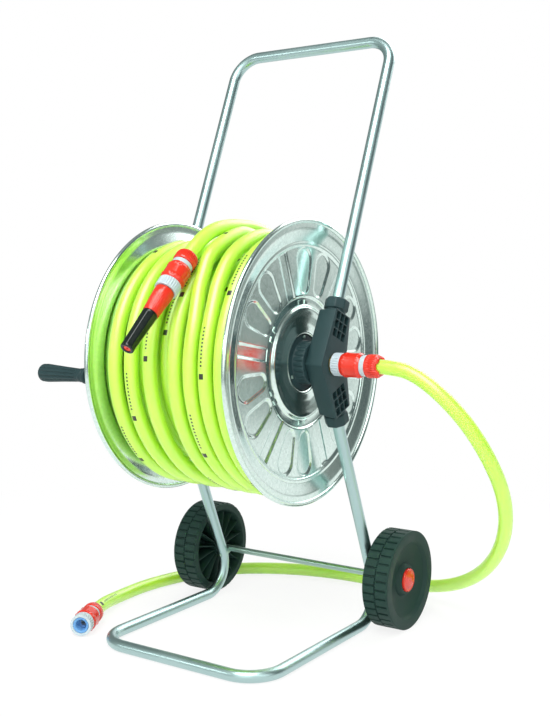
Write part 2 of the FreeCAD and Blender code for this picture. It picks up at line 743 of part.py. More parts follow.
def wound(turn):
    angle = math.radians(wound_start + turn)
    x = first_x + (last_x - first_x) * share_at(turn)
    radius = lay(x) - hose_r + hang_at(angle)
    if turn > climb:
        past = turn - climb
        x = last_x + (tail_top_x - last_x) * ease((past - tail_cross) / (tail_level - tail_cross))
        radius += tail_lift * (0.88 * ease(past / tail_climb) + 0.12 * past / tail_sweep)
    return hub + V(x, radius * math.cos(angle), radius * math.sin(angle))


def wound_heading(turn):
    return unit(wound(turn + 0.5) - wound(turn - 0.5))


nozzle_lean = math.radians(nozzle_tilt)
nozzle_turn = math.radians(nozzle_angle)
nozzle_r = lay(nozzle_x) + ring_dia / 2 + nozzle_lift
round_way = V(0, -math.sin(nozzle_turn), math.cos(nozzle_turn))
nozzle_way = round_way * math.cos(nozzle_lean) - side * math.sin(nozzle_lean)
nozzle_mid = hub + V(nozzle_x, nozzle_r * math.cos(nozzle_turn), nozzle_r * math.sin(nozzle_turn))
joint_at = nozzle_mid + nozzle_way * nozzle_ahead
tail_stop, tail_nut = connector("tail", joint_at, nozzle_way * -1, short_joint)

start_turn = math.radians(wound_start)
start_way = V(0, -math.sin(start_turn), math.cos(start_turn))
start_at = wound(0)
place = start_at + start_way * hose_dia
hose_path = [Part.LineSegment(start_at, place).toShape()]
heading = start_way
stations = [40.0]
while stations[-1] + 90 < climb:
    stations.append(stations[-1] + 75)
stations += [climb + tail_sweep * share for share in (0.0, 0.17, 0.34, 0.51, 0.68, 0.84, 1.0)]
for turn in stations:
    hose_path += biarc(place, heading, wound(turn), wound_heading(turn))
    place = wound(turn)
    heading = wound_heading(turn)
run_in = tail_nut - nozzle_way * 3
hose_path += biarc(place, heading, run_in, nozzle_way)
hose_path.append(Part.LineSegment(run_in, tail_stop).toShape())
nodes["hose_outer_turns"] = pipe(hose_path, hose_r)

walk = []
reach = 0.0
for edge in hose_path:
    steps = max(2, int(edge.Length / 5))
    for number in range(steps):
        share = number / float(steps)
        point = edge.valueAt(edge.FirstParameter + (edge.LastParameter - edge.FirstParameter) * share)
        walk.append((reach + edge.Length * share, point.x, point.y, point.z))
    reach += edge.Length
least = 1e9
for number, (far, x, y, z) in enumerate(walk):
    for other, px, py, pz in walk[number + 1:]:
        if other - far > 5 * hose_dia:
            gap = (x - px) ** 2 + (y - py) ** 2 + (z - pz) ** 2
            least = min(least, gap)
print("winding length %.0f mm, least gap to itself %.2f mm" % (reach, math.sqrt(least) - hose_dia))

hose_half = web_inner_x - 0.3
inner_r = core_r + 0.3
hose_core = on_hub([
    (-hose_half, inner_r), (-hose_half, lay(-hose_half) - hose_dia - 0.3),
    (hose_half, lay(hose_half) - hose_dia - 0.3), (hose_half, inner_r),
])
wedge_low = lay(first_x) - hose_dia - 3
wedge_high = lay(first_x)
wedge_x = hose_r - 0.2
wedge = Part.Face(Part.makePolygon([
    hub + V(first_x + x, radius * math.cos(start_turn), radius * math.sin(start_turn))
    for x, radius in ((-wedge_x, wedge_low), (wedge_x, wedge_low), (wedge_x, wedge_high),
            (-wedge_x, wedge_high),
                      (-wedge_x, wedge_low))]))
nodes["hose_core"] = hose_core.fuse(wedge.revolve(hub, side, -ramp_sweep))

# Nozzle: body plugged into the connector and a tip that turns on its stem
stem_r = stem_dia / 2
nodes["nozzle_body"] = turned([
    (-socket_long + 1, nozzle_bore / 2), (-socket_long + 1, nipple_dia / 2), (seat_gap, nipple_dia / 2),
    (seat_gap, nozzle_dia_in / 2 - 1), (3, nozzle_dia_in / 2), (10, nozzle_dia_in / 2 - 0.2),
    (nozzle_long, nozzle_dia_out / 2), (nozzle_long, stem_r), (nozzle_long + tip_long - 4, stem_r),
    (nozzle_long + tip_long - 4, nozzle_bore / 2),
], joint_at, nozzle_way)
facets = []
for place, across_tip in ((nozzle_long + seat_gap, tip_dia_in), (nozzle_long + tip_long, tip_dia_out)):
    ring = []
    for number in range(12):
        angle = math.pi * number / 6
        ring.append(V(across_tip / 2 * math.cos(angle), across_tip / 2 * math.sin(angle), place))
    facets.append(Part.makePolygon(ring + ring[:1]))
tip = Part.makeLoft(facets, True, True).cut(Part.makeCylinder(stem_r + run_gap, 400))
nodes["nozzle_tip"] = put(tip, joint_at, nozzle_way)

# Feed hose on the floor and its connector
floor_way = unit(floor_heading)
floor_stop, floor_end = connector("floor", floor_face, floor_way * -1, short_joint)
socket_r = socket_dia / 2
insert = turned([
    (core_step - 1, socket_r + 0.6), (core_step - 1, insert_dia / 2), (core_step, insert_dia / 2),
    (core_step, socket_r)])
nodes["floor_insert"] = put(insert, floor_face, floor_way * -1)
feed_points = [feed_start] + feed_corners + [floor_stop - floor_way * feed_last_run, floor_stop]
feed_radii = []
for before, corner, after in zip(feed_points, feed_points[1:], feed_points[2:]):
    half = (corner - before).getAngle(after - corner) / 2
    feed_radii.append(0.45 * min((corner - before).Length, (after - corner).Length) / math.tan(half))
feed_path = rounded(feed_points, feed_radii)
nodes["feed_hose"] = pipe(feed_path, hose_r)
feed_long = sum(edge.Length for edge in feed_path)
section = math.pi * hose_r * hose_r
print("feed bends", " ".join("%.0f" % radius for radius in feed_radii))
print("feed length %.0f mm, volume over section times length %.4f" % (
    feed_long, nodes["feed_hose"].Volume / (section * feed_long)))
print("winding volume over section times length %.4f"
      % (nodes["hose_outer_turns"].Volume / (section * reach)))

# Frame of the part: the box's bottom centre, without the loose feed hose
loose = ("feed_hose", "floor_ring", "floor_sleeve", "floor_core", "floor_nut", "floor_insert")
box = FreeCAD.BoundBox()
for name, shape in nodes.items():
    if name not in loose:
        box.add(shape.optimalBoundingBox(True, False))
shift = V(-(box.XMin + box.XMax) / 2, -(box.YMin + box.YMax) / 2, 0)
print("shift", shift, "box", box)
os.makedirs("parts", exist_ok=True)
for name, shape in nodes.items():
    solids = shape.Solids
    shape = solids[0] if len(solids) == 1 else Part.makeCompound(solids)
    shape = shape.copy()
    shape.translate(shift)
    if not shape.isValid():
        print("not valid", name)
    shape.exportStep("parts/%s.step" % name)
    print("%-22s solids %d volume %.0f" % (name, len(solids), shape.Volume))
print("axle", axle_at + shift, "hub", hub + shift, "grip", grip_at + shift, "joint", joint_at + shift,
    nozzle_way)
print("floor face", floor_face + shift, floor_way, "inlet", inlet_at + shift, "nodes", len(nodes))
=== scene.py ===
import bpy
import bmesh
import json
from functools import partial
from math import asin, ceil, cos, dist, hypot, pi, radians, sin, sqrt, tan
from mathutils import Matrix, Vector
from mathutils.geometry import delaunay_2d_cdt


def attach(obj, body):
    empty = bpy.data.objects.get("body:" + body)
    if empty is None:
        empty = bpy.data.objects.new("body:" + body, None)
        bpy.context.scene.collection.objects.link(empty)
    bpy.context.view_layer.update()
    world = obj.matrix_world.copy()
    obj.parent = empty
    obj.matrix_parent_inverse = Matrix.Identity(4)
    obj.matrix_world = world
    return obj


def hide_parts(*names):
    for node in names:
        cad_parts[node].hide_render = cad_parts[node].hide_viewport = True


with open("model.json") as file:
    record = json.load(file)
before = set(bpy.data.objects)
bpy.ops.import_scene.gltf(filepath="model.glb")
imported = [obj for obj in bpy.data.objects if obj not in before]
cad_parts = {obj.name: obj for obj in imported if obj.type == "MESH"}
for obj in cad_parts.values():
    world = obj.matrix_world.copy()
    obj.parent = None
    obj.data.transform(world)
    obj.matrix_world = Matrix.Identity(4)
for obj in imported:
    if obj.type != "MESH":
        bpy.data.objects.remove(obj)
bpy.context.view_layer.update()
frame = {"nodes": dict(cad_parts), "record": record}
scene = bpy.context.scene
print("frame loaded:", len(frame["nodes"]), "nodes")

mm = 0.001
drumShift = Vector((10.1, 13.4821, 0.0))  # from the middle of the drum to the part's origin


def spot(x, y, z):
    return (Vector((x, y, z)) + drumShift) * mm


# sizes that several pieces share, in millimetres; X runs along the drum's axis, the front is -Y
reel = {"hubHeight": 410.0, "legX": 142.5, "tubeRadius": 8.5, "lean": radians(22.8), "hoseRadius": 10.0}
hub = spot(0, 0, reel["hubHeight"])
axisX = Vector((1, 0, 0))
upWay = Vector((0, sin(reel["lean"]), cos(reel["lean"])))
downWay = Vector((0, sin(reel["lean"]), -cos(reel["lean"])))

# camera at the photograph's viewpoint; right, up and back are the directions of its own axes
camera = {
    "lens": 53.49, "sensor": 36.0, "clip": (0.05, 60.0), "place": (905.93, -1252.385, 541.18),
    "right": (0.82887, 0.55944, -0.00246), "up": (-0.04488, 0.07087, 0.99648),
    "back": (0.55764, -0.82583, 0.08385),
}


def placeCamera():
    data = bpy.data.cameras.new("photoCamera")
    data.lens = camera["lens"]
    data.sensor_width = camera["sensor"]
    data.clip_start, data.clip_end = camera["clip"]
    photoCamera = bpy.data.objects.new("photoCamera", data)
    columns = [camera["right"], camera["up"], camera["back"], spot(*camera["place"])]
    photoCamera.matrix_world = Matrix([[c[row] for c in columns] for row in range(3)] + [[0, 0, 0, 1]])
    scene.collection.objects.link(photoCamera)
    scene.camera = photoCamera


placeCamera()
print("camera placed")


# colours are written as sRGB hex
def linear(code):
    parts = [int(code[i:i + 2], 16) / 255 for i in (1, 3, 5)]
    return tuple(c / 12.92 if c <= 0.04045 else ((c + 0.055) / 1.055) ** 2.4 for c in parts) + (1.0,)


# adds one node: keys that start with a small letter are its settings, the others are its inputs;
# a link comes from a node's first output, or from the output that is given beside the node
def addNode(tree, kind, values=None, links=None):
    node = tree.nodes.new("ShaderNode" + kind)
    for key, value in (values or {}).items():
        if isinstance(key, str) and key[0].islower():
            setattr(node, key, value)
        else:
            node.inputs[key].default_value = value
    for key, source in (links or {}).items():
        giver, output = source if isinstance(source, tuple) else (source, 0)
        tree.links.new(giver.outputs[output], node.inputs[key])
    return node


# settings of a mix of two colours, whose result is output 2
def twoTones(dark, light):
    return {"data_type": "RGBA", 6: linear(dark), 7: linear(light)}


# an empty material, and a function that adds nodes to it
def newMaterial(name):
    material = bpy.data.materials.new(name)
    material.use_nodes = True
    material.node_tree.nodes.clear()
    return material, partial(addNode, material.node_tree)


# two tones and two roughnesses mixed by a grain of a real size, for moulded, drawn and turned parts
def makeFinish(name, dark, light, rough, grainMm, bumpMm, metallic=0.0, ior=1.5, gloss=0.5):
    patchMm = grainMm * 22
    material, add = newMaterial(name)
    place = (add("TexCoord"), "Object")
    patches = add("TexNoise", {"Scale": 1000 / patchMm, "Detail": 3.0}, {"Vector": place})
    grain = add("TexNoise", {"Scale": 1000 / grainMm, "Detail": 2.0}, {"Vector": place})
    tone = add("Mix", twoTones(dark, light), {0: patches})
    blur = add(
        "MapRange", {"From Min": 0.3, "From Max": 0.7, "To Min": rough[0], "To Max": rough[1]},
        {"Value": patches})
    relief = add("Bump", {"Strength": 0.3, "Distance": bumpMm * mm}, {"Height": grain})
    skin = add(
        "BsdfPrincipled", {"Metallic": metallic, "IOR": ior, "Specular IOR Level": gloss},
        {"Base Color": (tone, 2), "Roughness": blur, "Normal": relief})
    add("OutputMaterial", None, {"Surface": skin})
    return material


# zinc plated drawn tube: satin and smooth, with slow changes of gloss along it
zincTube = makeFinish("zincPlatedDrawnTube", "#A8C4C3", "#BBD4D3", (0.3, 0.38), 4.0, 0.004, metallic=1.0)
# zinc plated small parts, duller than the tube
platedSteel = makeFinish("zincPlatedSteel", "#93AFA4", "#A9C2B8", (0.3, 0.42), 2.0, 0.006, metallic=1.0)
# turned brass: warm, with fine tool marks
turnedBrass = makeFinish("turnedBrass", "#B0913F", "#CBAA58", (0.22, 0.32), 1.5, 0.006, metallic=1.0)
# glass filled polyamide, moulded: charcoal and satin, with a fine eroded grain
blackPolyamide = makeFinish(
    "mouldedBlackPolyamide", "#1F3537", "#2A4244", (0.4, 0.54), 0.9, 0.05, ior=1.53, gloss=0.25)
# polypropylene of the wheels, moulded: charcoal and duller
wheelPolypropylene = makeFinish(
    "mouldedBlackPolypropylene", "#18312C", "#223F38", (0.5, 0.64), 1.1, 0.06, ior=1.49, gloss=0.25)
# black acrylonitrile butadiene styrene of the nozzle, moulded in a polished tool: deep and glossy
blackAbs = makeFinish("mouldedBlackAbs", "#070F0C", "#0E1A16", (0.12, 0.2), 1.0, 0.008, ior=1.5)
# acrylonitrile butadiene styrene of the connectors, moulded: smooth, the red glossy and the grey satin
redAbs = makeFinish("mouldedRedAbs", "#CE2417", "#DE3823", (0.1, 0.16), 1.2, 0.012, ior=1.54)
greyAbs = makeFinish("mouldedGreyAbs", "#B0BEC4", "#C2CED4", (0.3, 0.42), 1.0, 0.015, ior=1.54)
# silicone of the floor connector's seal, moulded: a soft sheen
blueSilicone = makeFinish("mouldedBlueSilicone", "#4F86C0", "#6FA5D6", (0.3, 0.42), 1.0, 0.015, ior=1.43)
# rubber of the spindle's seals, moulded: black and dull
blackRubber = makeFinish("mouldedBlackRubber", "#101112", "#1C1D1E", (0.55, 0.7), 0.8, 0.03, ior=1.52)


# hot dip galvanised sheet, rolled and pressed: a bright skin whose zinc crystals barely differ in tone and
# gloss, with slow waves that the press leaves in the flat metal
def makeGalvanised():
    spangle = {
        "crystalMm": 3.0, "crystalHighMm": 0.01, "warpMm": 6.0, "warpReach": 0.005, "dark": "#D8ECE5",
        "light": "#E4F5EF", "rough": (0.15, 0.21), "waveMm": 55.0, "waveHighMm": 0.16,
    }
    material, add = newMaterial("hotDipGalvanisedSheet")
    place = (add("TexCoord"), "Object")
    warp = add("TexNoise", {"Scale": 1000 / spangle["warpMm"], "Detail": 2.0}, {"Vector": place})
    bent = add(
        "VectorMath", {"operation": "MULTIPLY_ADD", 1: (spangle["warpReach"],) * 3},
        {0: (warp, "Color"), 2: place})
    cells = add("TexVoronoi", {"Scale": 1000 / spangle["crystalMm"]}, {"Vector": bent})
    parts = add("SeparateColor", None, {"Color": (cells, "Color")})
    tone = add("Mix", twoTones(spangle["dark"], spangle["light"]), {0: (parts, "Red")})
    low, high = spangle["rough"]
    blur = add("MapRange", {"To Min": low, "To Max": high}, {"Value": (parts, "Green")})
    waves = add("TexNoise", {"Scale": 1000 / spangle["waveMm"], "Detail": 1.0}, {"Vector": place})
    bow = add("Bump", {"Strength": 1.0, "Distance": spangle["waveHighMm"] * mm}, {"Height": waves})
    relief = add(
        "Bump", {"Strength": 0.02, "Distance": spangle["crystalHighMm"] * mm},
        {"Height": (parts, "Blue"), "Normal": bow})
    skin = add(
        "BsdfPrincipled", {"Metallic": 1.0}, {"Base Color": (tone, 2), "Roughness": blur, "Normal": relief})
    add("OutputMaterial", None, {"Surface": skin})
    return material


# plasticised PVC hose, extruded: satin skin over a bright body, with a printed row of plain ticks
def makeHosePvc():
    hose = {
        "dark": "#B9EB34", "light": "#C5F344", "ink": "#10160A", "patchMm": 40.0, "grainMm": 1.6,
        "grainHighMm": 0.03, "rough": (0.36, 0.42), "coat": 0.8, "repeatMm": 330.0, "rowMm": 52.0,
        "tickMm": 4.7, "tickLongMm": 2.5, "halfWideMm": 1.4, "squareFromMm": 58.0, "squareMm": 7.0,
    }
    material, add = newMaterial("extrudedPvcHose")
    place = (add("TexCoord"), "Object")
    patches = add("TexNoise", {"Scale": 1000 / hose["patchMm"], "Detail": 3.0}, {"Vector": place})
    grain = add("TexNoise", {"Scale": 1000 / hose["grainMm"]}, {"Vector": place})
    tone = add("Mix", twoTones(hose["dark"], hose["light"]), {0: patches})
    # the strip's first way goes once round the hose, the second one runs along it in metres
    strip = add("UVMap", {"uv_map": "hoseStrip"})
    ways = add("SeparateXYZ", None, {"Vector": strip})
    girth = 2 * pi * reel["hoseRadius"]
    across = add("Math", {"operation": "MULTIPLY_ADD", 1: girth, 2: -girth / 2}, {0: (ways, "X")})
    off = add("Math", {"operation": "ABSOLUTE"}, {0: across})
    length = add("Math", {"operation": "MULTIPLY", 1: 1000.0}, {0: (ways, "Y")})
    along = add("Math", {"operation": "MODULO", 1: hose["repeatMm"]}, {0: length})
    beat = add("Math", {"operation": "MODULO", 1: hose["tickMm"]}, {0: along})
    # a square, and a row of ticks: each is inked where all of its tests hold
    square = [
        (along, "GREATER_THAN", hose["squareFromMm"]), (off, "LESS_THAN", hose["squareMm"] / 2),
        (along, "LESS_THAN", hose["squareFromMm"] + hose["squareMm"]),
    ]
    ticks = [
        (along, "LESS_THAN", hose["rowMm"]), (off, "LESS_THAN", hose["halfWideMm"]),
        (beat, "LESS_THAN", hose["tickLongMm"]),
    ]
    marks = []
    for tests in (square, ticks):
        held = [add("Math", {"operation": test, 1: limit}, {0: value}) for value, test, limit in tests]
        both = add("Math", {"operation": "MULTIPLY"}, {0: held[0], 1: held[1]})
        marks.append(add("Math", {"operation": "MULTIPLY"}, {0: both, 1: held[2]}))
    ink = add("Math", {"operation": "MAXIMUM"}, {0: marks[0], 1: marks[1]})
    printed = add("Mix", {"data_type": "RGBA", 7: linear(hose["ink"])}, {0: ink, 6: (tone, 2)})
    low, high = hose["rough"]
    blur = add("MapRange", {"To Min": low, "To Max": high}, {"Value": patches})
    # the print lies on the skin and is dull
    gloss = add("MapRange", {"To Min": hose["coat"], "To Max": 0.0}, {"Value": ink})
    relief = add("Bump", {"Strength": 0.12, "Distance": hose["grainHighMm"] * mm}, {"Height": grain})
    body = {
        "IOR": 1.53, "Specular IOR Level": 0.9, "Subsurface Weight": 0.7,
        "Subsurface Radius": (0.8, 1.0, 0.2), "Subsurface Scale": 0.014, "Coat Roughness": 0.42,
        "Coat IOR": 1.7,
    }
    skin = add(
        "BsdfPrincipled", body,
        {"Base Color": (printed, 2), "Roughness": blur, "Coat Weight": gloss, "Normal": relief})
    add("OutputMaterial", None, {"Surface": skin})
    return material


galvanised = makeGalvanised()
hosePvc = makeHosePvc()
finishOf = {
    "galvanised_tube": zincTube, "galvanised_sheet": galvanised, "plated_steel": platedSteel,
    "brass": turnedBrass, "black_plastic": blackPolyamide, "wheel_plastic": wheelPolypropylene,
    "red_plastic": redAbs, "grey_plastic": greyAbs, "blue_rubber": blueSilicone, "seal_rubber": blackRubber,
    "hose_green": hosePvc,
}
print("materials made")


# turns points and faces into a piece on a body, with its slot's finish unless another material is given;
# strip gives the hose's print coordinates, one list per face
def newPiece(name, shape, body, nodes, slot, sharp=38, strip=None, material=None):
    verts, faces = shape
    mesh = bpy.data.meshes.new(name)
    mesh.from_pydata([tuple(v) for v in verts], [], faces)
    if strip:
        layer = mesh.uv_layers.new(name="hoseStrip")
        layer.data.foreach_set("uv", [c for face in strip for uv in face for c in uv])
    work = bmesh.new()
    work.from_mesh(mesh)
    bmesh.ops.remove_doubles(work, verts=work.verts, dist=1e-7)
    bmesh.ops.recalc_face_normals(work, faces=work.faces)
    work.to_mesh(mesh)
    work.free()
    mesh.materials.append(material or finishOf[slot])
    mesh.polygons.foreach_set("use_smooth", [True] * len(mesh.polygons))
    mesh.set_sharp_from_angle(angle=radians(sharp))
    piece = bpy.data.objects.new(name, mesh)
    scene.collection.objects.link(piece)
    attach(piece, body)
    if nodes:
        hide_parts(*nodes)
    return piece


def ease(value):
    value = min(1.0, max(0.0, value))
    return value * value * (3 - 2 * value)


# goes softly from 0 at start to 1 at end
def rise(value, start, end):
    return ease((value - start) / (end - start))


# rounds the corners of an outline
def eased(points, radius, steps=3, closed=True):
    out = []
    count = len(points)
    for i in range(count):
        corner = Vector(points[i])
        if not closed and i in (0, count - 1):
            out.append(tuple(corner))
            continue
        back = Vector(points[i - 1]) - corner
        ahead = Vector(points[(i + 1) % count]) - corner
        reach = min(radius, back.length * 0.45, ahead.length * 0.45)
        start = corner + back.normalized() * reach
        end = corner + ahead.normalized() * reach
        for step in range(steps + 1):
            t = step / steps
            out.append(tuple(start * (1 - t) ** 2 + corner * 2 * t * (1 - t) + end * t ** 2))
    return out


# splits the long sides of a closed outline, so that a shape can act on them
def divided(profile, longest):
    out = []
    for start, end in zip(profile, profile[1:] + profile[:1]):
        start, end = Vector(start), Vector(end)
        parts = max(1, ceil((end - start).length / longest))
        out += [tuple(start.lerp(end, k / parts)) for k in range(parts)]
    return out


# faces between the closed outlines of a full turn
def turnFaces(count, size):
    faces = []
    for step in range(count):
        here = step * size
        there = (step + 1) % count * size
        for i in range(size):
            j = (i + 1) % size
            faces.append((here + i, here + j, there + j, there + i))
    return faces


# spins a closed outline of (place, radius) points about an axis; shape may move each point
def spun(profile, count, at, along, shape=None):
    turn = Vector((0, 0, 1)).rotation_difference(along)
    verts = []
    for step in range(count):
        angle = 2 * pi * step / count
        for place, radius in profile:
            if shape:
                place, radius = shape(place, radius, angle)
            verts.append(at + turn @ Vector((radius * cos(angle), radius * sin(angle), place)) * mm)
    return verts, turnFaces(count, len(profile))


# a shape for spun: grooves between ribs, from low to high, on what lies outside a radius
def grooved(ribs, low, high, outside):
    def shape(place, radius, angle):
        if radius > outside and low < place < high:
            rib = ease((0.5 + 0.5 * cos(ribs["count"] * angle)) * ribs["wide"])
            radius -= ribs["deep"] * (1 - rib) * ease(min(place - low, high - place) / ribs["runOut"])
        return place, radius

    return shape


# a round bar along points, with closed ends and print coordinates; outward can point a seam's far side
def swept(points, radius, sides, outward=None):
    verts = []
    faces = []
    strip = []
    normal = None
    reach = [0.0]
    for a, b in zip(points, points[1:]):
        reach.append(reach[-1] + (b - a).length)
    for i, point in enumerate(points):
        ahead = (points[min(i + 1, len(points) - 1)] - points[max(i - 1, 0)]).normalized()
        if outward:
            normal = -outward[i]
        elif normal is None:
            normal = ahead.orthogonal()
        normal = (normal - ahead * normal.dot(ahead)).normalized()
        side = ahead.cross(normal)
        for k in range(sides):
            angle = 2 * pi * k / sides
            verts.append(point + (normal * cos(angle) + side * sin(angle)) * radius)
    for i in range(len(points) - 1):
        for k in range(sides):
            n = (k + 1) % sides
            faces.append((i * sides + k, i * sides + n, (i + 1) * sides + n, (i + 1) * sides + k))
            near, far = k / sides, (k + 1) / sides
            strip.append(((near, reach[i]), (far, reach[i]), (far, reach[i + 1]), (near, reach[i + 1])))
    for first in (0, (len(points) - 1) * sides):
        faces.append(tuple(range(first, first + sides)))
        strip.append(((0.0, 0.0),) * sides)
    return (verts, faces), strip


# straight runs joined by round bends, as a tube bender leaves them
def bentTube(corners, radii, steps=16):
    out = [corners[0]]
    for before, corner, after, radius in zip(corners, corners[1:], corners[2:], radii):
        come = (corner - before).normalized()
        go = (after - corner).normalized()
        half = come.angle(go) / 2
        middle = corner + (go - come).normalized() * (radius * mm / cos(half))
        start = corner - come * (radius * mm * tan(half))
        spin = come.cross(go).normalized()
        for step in range(steps + 1):
            out.append(middle + Matrix.Rotation(2 * half * step / steps, 3, spin) @ (start - middle))
    return out + [corners[-1]]


# a plate along X from its inner outline to its outer one, with rounded edges, holes and pockets in its outer
# face; points are (y, z) in millimetres
def plateWithHoles(outlines, holes, inner, outer, edge, pockets=()):
    verts = []
    faces = []

    def moved(points, by):
        out = []
        for i, point in enumerate(points):
            here = Vector(point)
            come = (here - Vector(points[i - 1])).normalized()
            go = (Vector(points[(i + 1) % len(points)]) - here).normalized()
            way = Vector((-come.y, come.x)) + Vector((-go.y, go.x))
            out.append(here + way * (by / max(0.3, 1 + come.dot(go))))
        return out

    def ring(points, level):
        verts.extend(spot(level, y, z) for y, z in points)
        return list(range(len(verts) - len(points), len(verts)))

    def wall(one, two):
        for i in range(len(one)):
            j = (i + 1) % len(one)
            faces.append((one[i], one[j], two[j], two[i]))

    def isInside(point, loop):
        inside = False
        for a, b in zip(loop, list(loop[1:]) + [loop[0]]):
            if (a[1] > point.y) != (b[1] > point.y):
                if point.x < (b[0] - a[0]) * (point.y - a[1]) / (b[1] - a[1]) + a[0]:
                    inside = not inside
        return inside

    def cover(loops, level):
        flat = [Vector(p) for loop in loops for p in loop]
        edges = []
        base = 0
        for loop in loops:
            edges += [(base + i, base + (i + 1) % len(loop)) for i in range(len(loop))]
            base += len(loop)
        points, _, tris, _, _, _ = delaunay_2d_cdt(flat, edges, [], 1, 1e-4)
        base = len(verts)
        verts.extend(spot(level, p.x, p.y) for p in points)
        for tri in tris:
            middle = sum((points[i] for i in tri), Vector((0, 0))) / len(tri)
            if all(not isInside(middle, loop) for loop in loops[1:]):
                faces.append(tuple(base + i for i in tri))

    way = 1 if outer > inner else -1
    area = sum(a[0] * b[1] - b[0] * a[1] for a, b in zip(outlines[0], outlines[0][1:] + outlines[0][:1]))
    near, far = outlines if area > 0 else [outline[::-1] for outline in outlines]
    nearFace = moved(near, edge)
    farFace = moved(far, edge)
    steps = [
        (nearFace, inner), (moved(near, edge * 0.3), inner + way * edge * 0.3), (near, inner + way * edge),
        (far, outer - way * edge), (moved(far, edge * 0.3), outer - way * edge * 0.3), (farFace, outer),
    ]
    rings = [ring(points, level) for points, level in steps]
    for one, two in zip(rings, rings[1:]):
        wall(one, two)
    for hole in holes:
        wall(ring(hole, inner), ring(hole, outer))
    for pocket, depth in pockets:
        low = ring(pocket, outer - way * depth)
        wall(ring(pocket, outer), low)
        faces.append(tuple(low))
    cover([nearFace] + holes, inner)
    cover([farFace] + holes + [pocket for pocket, _ in pockets], outer)
    return verts, faces


def circle(x, y, radius, count=32):
    angles = [2 * pi * i / count for i in range(count)]
    return [(x + radius * cos(angle), y + radius * sin(angle)) for angle in angles]


# white paper on the floor of a studio with a pale wall behind, a bright front right and a dark far right;
# fade and edge are distances in metres where a change starts and ends
paper = {
    "reach": 9.0, "sides": 48, "below": 0.0003, "tone": (0.95, 0.95, 0.95, 1), "edge": (2.0, 2.7),
    "shadowShare": 0.16, "fade": (0.55, 1.15),
}
# toWall, toDark and toFront are shares of straight behind where a change starts and ends, toRight and
# leftToRight are shares of straight right; the wall starts further round higher up
studio = {
    "wall": "#FFFFFF", "floor": "#9BA3A1", "side": "#8A8F8D", "dark": "#5E6667", "frontLeft": "#B0B6B4",
    "frontRight": "#EAEEED", "toWall": (0.83, 0.87), "wallLean": 0.35, "toDark": (0.75, 0.5),
    "toRight": (0.3, 0.75), "toFront": (0.1, -0.6), "leftToRight": (-0.5, 0.45),
}


# settings of a range that goes softly from 0 at start to 1 at end
def softRange(start, end):
    return {"interpolation_type": "SMOOTHSTEP", "From Min": start, "From Max": end}


# shares of the dark corner and of the pale wall in what a mirror sees in a direction
def roomShares(add, ways, behind):
    toWall = add("MapRange", softRange(*studio["toWall"]), {"Value": behind})
    toDark = add("MapRange", softRange(*studio["toDark"]), {"Value": (ways, "Y")})
    toRight = add("MapRange", softRange(*studio["toRight"]), {"Value": (ways, "X")})
    corner = add("Math", {"operation": "MULTIPLY"}, {0: toDark, 1: toRight})
    return corner, toWall


def makePaper():
    material, add = newMaterial("whitePaper")
    paths = add("LightPath")
    place = (add("TexCoord"), "Object")
    far = add("VectorMath", {"operation": "LENGTH"}, {0: place})
    # near the reel the paper keeps its shadow, further out it is plain white
    fade = {**softRange(*paper["fade"]), "To Min": 1 - paper["shadowShare"]}
    share = add("MapRange", fade, {"Value": (far, "Value")})
    isGlossy = (paths, "Is Glossy Ray")
    seen = add("Math", {"operation": "MAXIMUM"}, {0: (paths, "Is Camera Ray"), 1: isGlossy})
    shown = add("Math", {"operation": "MAXIMUM"}, {0: seen, 1: (paths, "Is Transmission Ray")})
    part = add("Math", {"operation": "MULTIPLY"}, {0: shown, 1: share})
    # mirrors see the paper end some way off, and the grey floor and the wall beyond it
    way = add("VectorMath", {"operation": "NORMALIZE"}, {0: place})
    ways = add("SeparateXYZ", None, {"Vector": way})
    corner, toWall = roomShares(add, ways, (ways, "Y"))
    grey = add("Mix", twoTones(studio["floor"], studio["dark"]), {0: corner})
    bare = add("Mix", {"data_type": "RGBA", 7: linear(studio["wall"])}, {0: toWall, 6: (grey, 2)})
    past = add("MapRange", softRange(*paper["edge"]), {"Value": (far, "Value")})
    beyond = add("Math", {"operation": "MULTIPLY"}, {0: past, 1: isGlossy})
    white = add("Mix", {"data_type": "RGBA", 6: (1, 1, 1, 1)}, {0: beyond, 7: (bare, 2)})
    sheet = add("BsdfDiffuse", {"Color": paper["tone"]})
    glow = add("Emission", {"Strength": 1.0}, {"Color": (white, 2)})
    mixed = add("MixShader", None, {0: part, 1: sheet, 2: glow})
    add("OutputMaterial", None, {"Surface": mixed})
    mesh = bpy.data.meshes.new("paperFloor")
    ring = [(x, y, 0) for x, y in circle(0, 0, paper["reach"], paper["sides"])]
    mesh.from_pydata(ring, [], [tuple(range(len(ring)))])
    mesh.materials.append(material)
    floor = bpy.data.objects.new("paperFloor", mesh)
    floor.location.z = -paper["below"]
    scene.collection.objects.link(floor)


